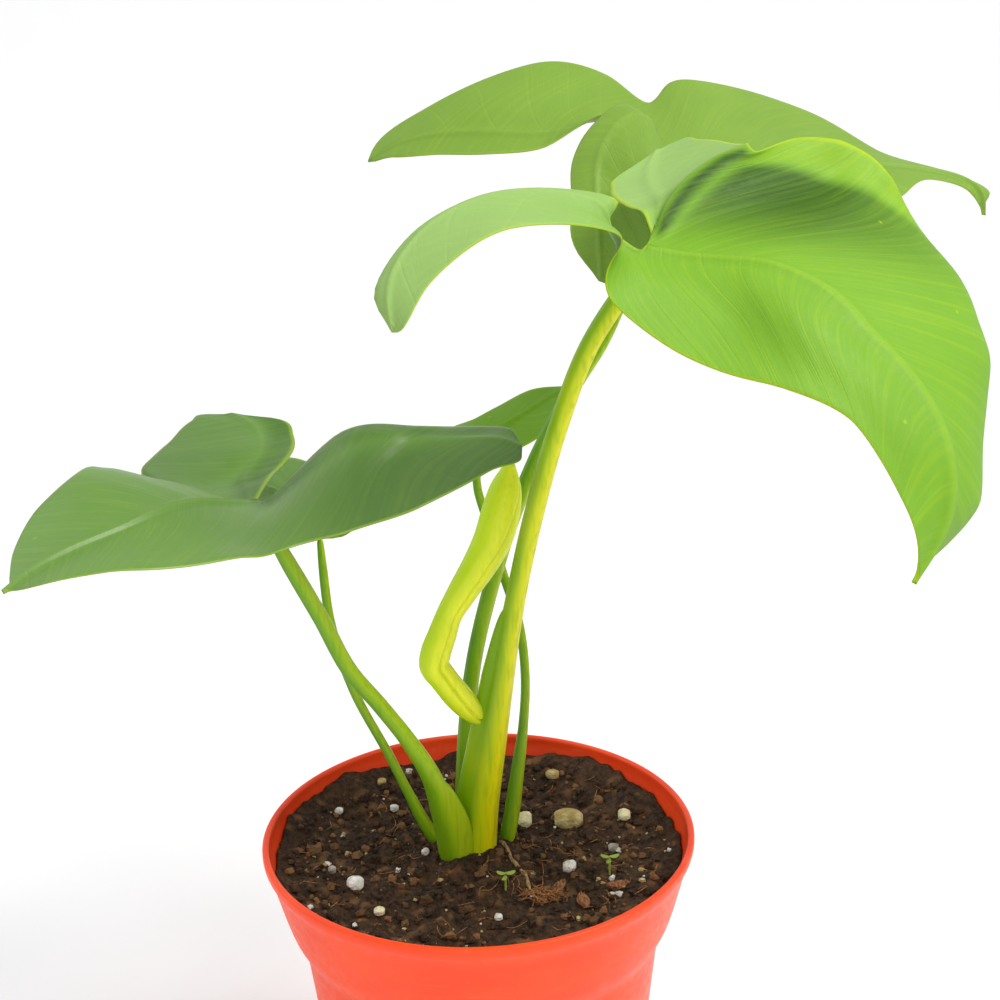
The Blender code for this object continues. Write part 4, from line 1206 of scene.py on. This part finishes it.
def make_shoot(node, finish):
    """A seedling: a thread-thin stem with three small leaves, each a flat ball cupped by x^2 / 4 size."""
    low, high = settled(node)
    foot = np.array([0.5 * (low[0] + high[0]), 0.5 * (low[1] + high[1]), low[2] - 1.0])
    top = np.array([0.5 * (low[0] + high[0]), 0.5 * (low[1] + high[1]), high[2] - 0.6])
    route = foot + (top - foot) * np.linspace(0.0, 1.0, 12)[:, None]
    points, faces, _ = tube(route, 8, np.full((12, 8), 0.28))
    parts = [(points, faces, {"tone": np.zeros(points.shape[:2])})]
    for turn, lift, size in ((0.4, 0.2, 2.0), (2.6, 0.1, 1.8), (4.4, -0.6, 1.5)):
        unit, leaf_faces = ball(12, 16)
        leaf = unit * np.array([1.0, 0.55, 0.16]) * size
        leaf[..., 2] += 0.25 * leaf[..., 0] ** 2 / size
        leaf[..., 0] += size * 0.9
        spun_leaf = spun_about(leaf, turn)
        parts.append((top + spun_leaf * 0.8 + (0, 0, lift), leaf_faces, {"tone": np.ones(unit.shape[:2])}))
    points, faces, marks = joined(parts)
    return surface(node + "_seedling", points, faces, finish, [node], marks)


def make_dry_root(finish, around=12, steps=90):
    """The dry root on the soil: a tube of radius r (1 + 0.15 cos(3 a + 20 s) + 0.18 sin(41 s))."""
    route = smooth_route(DRY_ROOT, steps)
    route[:, 2] = np.maximum(route[:, 2], soil_height(route[:, 0], route[:, 1]) + 0.4)
    angle = np.linspace(0.0, 2 * np.pi, around, endpoint=False)[None, :]
    up = np.linspace(0.0, 1.0, steps)[:, None]
    radius = route[:, 3:4] * (1.0 + 0.15 * np.cos(3 * angle + 20 * up) + 0.18 * np.sin(41 * up))
    points, faces, _ = tube(route, around, radius)
    return surface("dry_root_thread", points.reshape(-1, 3), faces, finish, ["dry_root"])


# ---------------------------------------------------------------- the plant


# A leaf's colours are dark, light, vein, edge, under, and the painted shade of its folds. A stalk's are its
# painted shade, its middle and its painted light.
BRIGHT_LEAF = leaf_finish(
    "leaf_bright", (0.120, 0.315, 0.001), (0.185, 0.410, 0.002), (0.42, 0.62, 0.03), (0.46, 0.62, 0.01),
    (0.20, 0.42, 0.03), (0.022, 0.075, 0.001), gloss=0.40, painted_sheen=0.5,
)
DEEP_LEAF = leaf_finish(
    "leaf_deep", (0.062, 0.180, 0.010), (0.115, 0.265, 0.024), (0.26, 0.42, 0.06), (0.34, 0.50, 0.03),
    (0.16, 0.32, 0.05), (0.030, 0.100, 0.006), gloss=0.34, sheen=0.55,
)
PALE_LEAF = leaf_finish(
    "leaf_pale", (0.100, 0.220, 0.006), (0.165, 0.310, 0.016), (0.30, 0.46, 0.08), (0.36, 0.52, 0.04),
    (0.22, 0.38, 0.05), (0.050, 0.130, 0.008), gloss=0.40, sheen=0.10,
)
# The stalks and the rolled new leaf carry the painted shade and painted light of stalk_finish.
STALK_GREEN = stalk_finish("stalk_green", (0.200, 0.400, 0.001), (0.600, 0.720, 0.002), (0.940, 0.880, 0.004))
STALK_LEAFY = stalk_finish("stalk_leafy", (0.130, 0.330, 0.004), (0.260, 0.500, 0.006), (0.480, 0.660, 0.010))
NEW_GREEN = stalk_finish(
    "new_leaf_green", (0.560, 0.780, 0.015), (0.920, 0.960, 0.030), (0.960, 0.970, 0.050), 0.42
)
PEAT = peat_finish("peat")
CRUMB = peat_finish("peat_crumb", 0.25)
CREAM = grit_finish("grit_cream", (0.60, 0.50, 0.24), (0.88, 0.82, 0.56))
TAN = grit_finish("grit_tan", (0.38, 0.27, 0.09), (0.62, 0.52, 0.26))
GREY = grit_finish("grit_grey", (0.20, 0.17, 0.14), (0.52, 0.46, 0.38))
WHITE = grit_finish("perlite_white", (0.62, 0.58, 0.50), (0.93, 0.92, 0.88), 0.35)
BARK = fibre_finish("bark_brown", (0.10, 0.035, 0.012), (0.42, 0.18, 0.07))
STRAW = fibre_finish("fibre_straw", (0.16, 0.06, 0.02), (0.52, 0.24, 0.08))
ROOT = fibre_finish("root_tan", (0.20, 0.11, 0.05), (0.50, 0.33, 0.17))
CROWN_SKIN = fibre_finish("crown_bark", (0.10, 0.08, 0.03), (0.30, 0.24, 0.10))
SHOOT = leaf_finish(
    "shoot_green", (0.10, 0.26, 0.03), (0.24, 0.46, 0.06), (0.40, 0.55, 0.16), (0.45, 0.6, 0.08),
    (0.25, 0.45, 0.1), (0.08, 0.20, 0.02), gloss=0.45,
)

make_pot(pot_finish())
make_soil(PEAT)
make_crumbs("peat_crumbs", 1500, 0.35, 1.5, CRUMB, 4)
make_crumbs("grit_crumbs", 90, 0.30, 0.85, TAN, 9)
make_crumbs("perlite_crumbs", 46, 0.30, 1.1, WHITE, 12)
make_fibres("peat_fibres", 130, 5.5, 0.13, STRAW, 21)
make_fibres("fibre_tuft", 60, 8.0, 0.16, STRAW, 25, centre=(17.0, -22.0), spread=4.0)

STONES = {
    "pebble_cream": CREAM, "pebble_large": TAN, "pebble_right": CREAM, "pebble_back": TAN,
    "pebble_side": GREY, "pebble_left": TAN, "pebble_front": CREAM, "pebble_edge": GREY,
}
for number, (node, finish) in enumerate(STONES.items()):
    stone(node + "_stone", *settled(node), finish, "pebble", [node], 3.0 + number)
PERLITE = ("perlite_right", "perlite_left", "perlite_back", "perlite_far", "perlite_front", "perlite_near")
for number, node in enumerate(PERLITE):
    stone(node + "_bead", *settled(node), WHITE, "perlite", [node], 31.0 + number, rough=0.2)
for number, node in enumerate(CHIP_HEADINGS):
    make_chip(node, BARK, number + 0.5)
for node in ("shoot_right", "shoot_front"):
    make_shoot(node, SHOOT)
make_dry_root(ROOT)

make_blade("blade_front", FRONT_LEAF, BRIGHT_LEAF, front_shades)
make_blade("blade_left", LEFT_LEAF, DEEP_LEAF, left_shades)
make_blade("blade_back", BACK_LEAF, PALE_LEAF, no_shades)
make_blade("blade_rear", REAR_LEAF, BRIGHT_LEAF, no_shades, rows=90, columns=22)
make_blade("blade_left_rear", LEFT_REAR_LEAF, DEEP_LEAF, no_shades, rows=90, columns=22)
make_stalk("stalk_front", STALK_GREEN, sheath=(0.46, 2.4, np.pi))
make_stalk("stalk_back", STALK_LEAFY)
make_stalk("stalk_left", STALK_LEAFY, sheath=(0.30, 2.4, 0.0))
make_stalk("stalk_left_rear", STALK_LEAFY)
make_stalk("stalk_rear", STALK_LEAFY)
make_rolled_leaf(NEW_GREEN)

for node in ("stem_crown", "root_north", "root_west", "root_south", "root_east"):
    buried = bpy.data.objects[node]
    buried.data.materials.clear()
    buried.data.materials.append(CROWN_SKIN if node == "stem_crown" else ROOT)


# ---------------------------------------------------------------- floor, light and camera


def make_floor():
    """A plain pale floor that curves up behind as a backdrop: height is 1.2 (y - 0.7)^2 past y = 0.7 m."""
    rows = 60
    y = np.linspace(-2.0, 2.6, rows)[:, None] + np.zeros((1, 2))
    x = np.zeros((rows, 1)) + np.array([[-2.5, 2.5]])
    points = np.stack([x, y, 1.2 * np.clip(y - 0.7, 0.0, None) ** 2], axis=-1)
    mesh = bpy.data.meshes.new("floor")
    mesh.from_pydata(points.reshape(-1, 3).tolist(), [], grid_faces(rows, 2).tolist())
    mesh.shade_smooth()
    make = Finish("floor_white", Specular_IOR_Level=0.2)
    faint = make.grain(60, 2.0)
    shade = make.blend(faint, (0.90, 0.90, 0.90), (0.93, 0.93, 0.93))
    mesh.materials.append(make.done(shade, make.fade(faint, 0.2, 0.8, 0.7, 0.8)))
    floor = bpy.data.objects.new("floor", mesh)
    bpy.context.scene.collection.objects.link(floor)


def add_light(name, place, target, size, power, tint):
    """A soft square lamp that faces its target."""
    lamp = bpy.data.lights.new(name, "AREA")
    lamp.size = size
    lamp.energy = power
    lamp.color = tint
    obj = bpy.data.objects.new(name, lamp)
    obj.location = place
    obj.rotation_euler = (Vector(target) - Vector(place)).to_track_quat("-Z", "Y").to_euler()
    bpy.context.scene.collection.objects.link(obj)


make_floor()
add_light("key", (0.62, -0.18, 1.00), (0.02, 0.0, 0.18), 0.50, 12.0, (1.0, 0.99, 0.96))
add_light("fill", (-0.8, 0.3, 0.9), (0.02, 0.0, 0.15), 0.9, 3.5, (1.0, 1.0, 1.0))
add_light("front", (-0.3, -1.2, 0.5), (0.0, 0.0, 0.12), 0.9, 3.0, (1.0, 1.0, 1.0))
world = bpy.data.worlds.new("studio")
world.use_nodes = True
world.node_tree.nodes["Background"].inputs["Color"].default_value = (0.96, 0.97, 1.0, 1.0)
world.node_tree.nodes["Background"].inputs["Strength"].default_value = 0.66
bpy.context.scene.world = world
bpy.context.scene.view_settings.view_transform = "Standard"

lens = bpy.data.cameras.new("camera")
lens.lens = CAMERA_LENS
lens.sensor_width = CAMERA_SENSOR
camera = bpy.data.objects.new("camera", lens)
level = np.array([1.0, 0.0, 0.0])
ahead = np.array([0.0, np.cos(CAMERA_DOWN), -np.sin(CAMERA_DOWN)])
upright = np.cross(level, ahead)
across = level * np.cos(CAMERA_LEAN) - upright * np.sin(CAMERA_LEAN)
up = level * np.sin(CAMERA_LEAN) + upright * np.cos(CAMERA_LEAN)
pose = Matrix(np.column_stack([across, up, -ahead]).tolist()).to_4x4()
pose.translation = CAMERA_PLACE
camera.matrix_world = pose
bpy.context.scene.collection.objects.link(camera)
bpy.context.scene.camera = camera
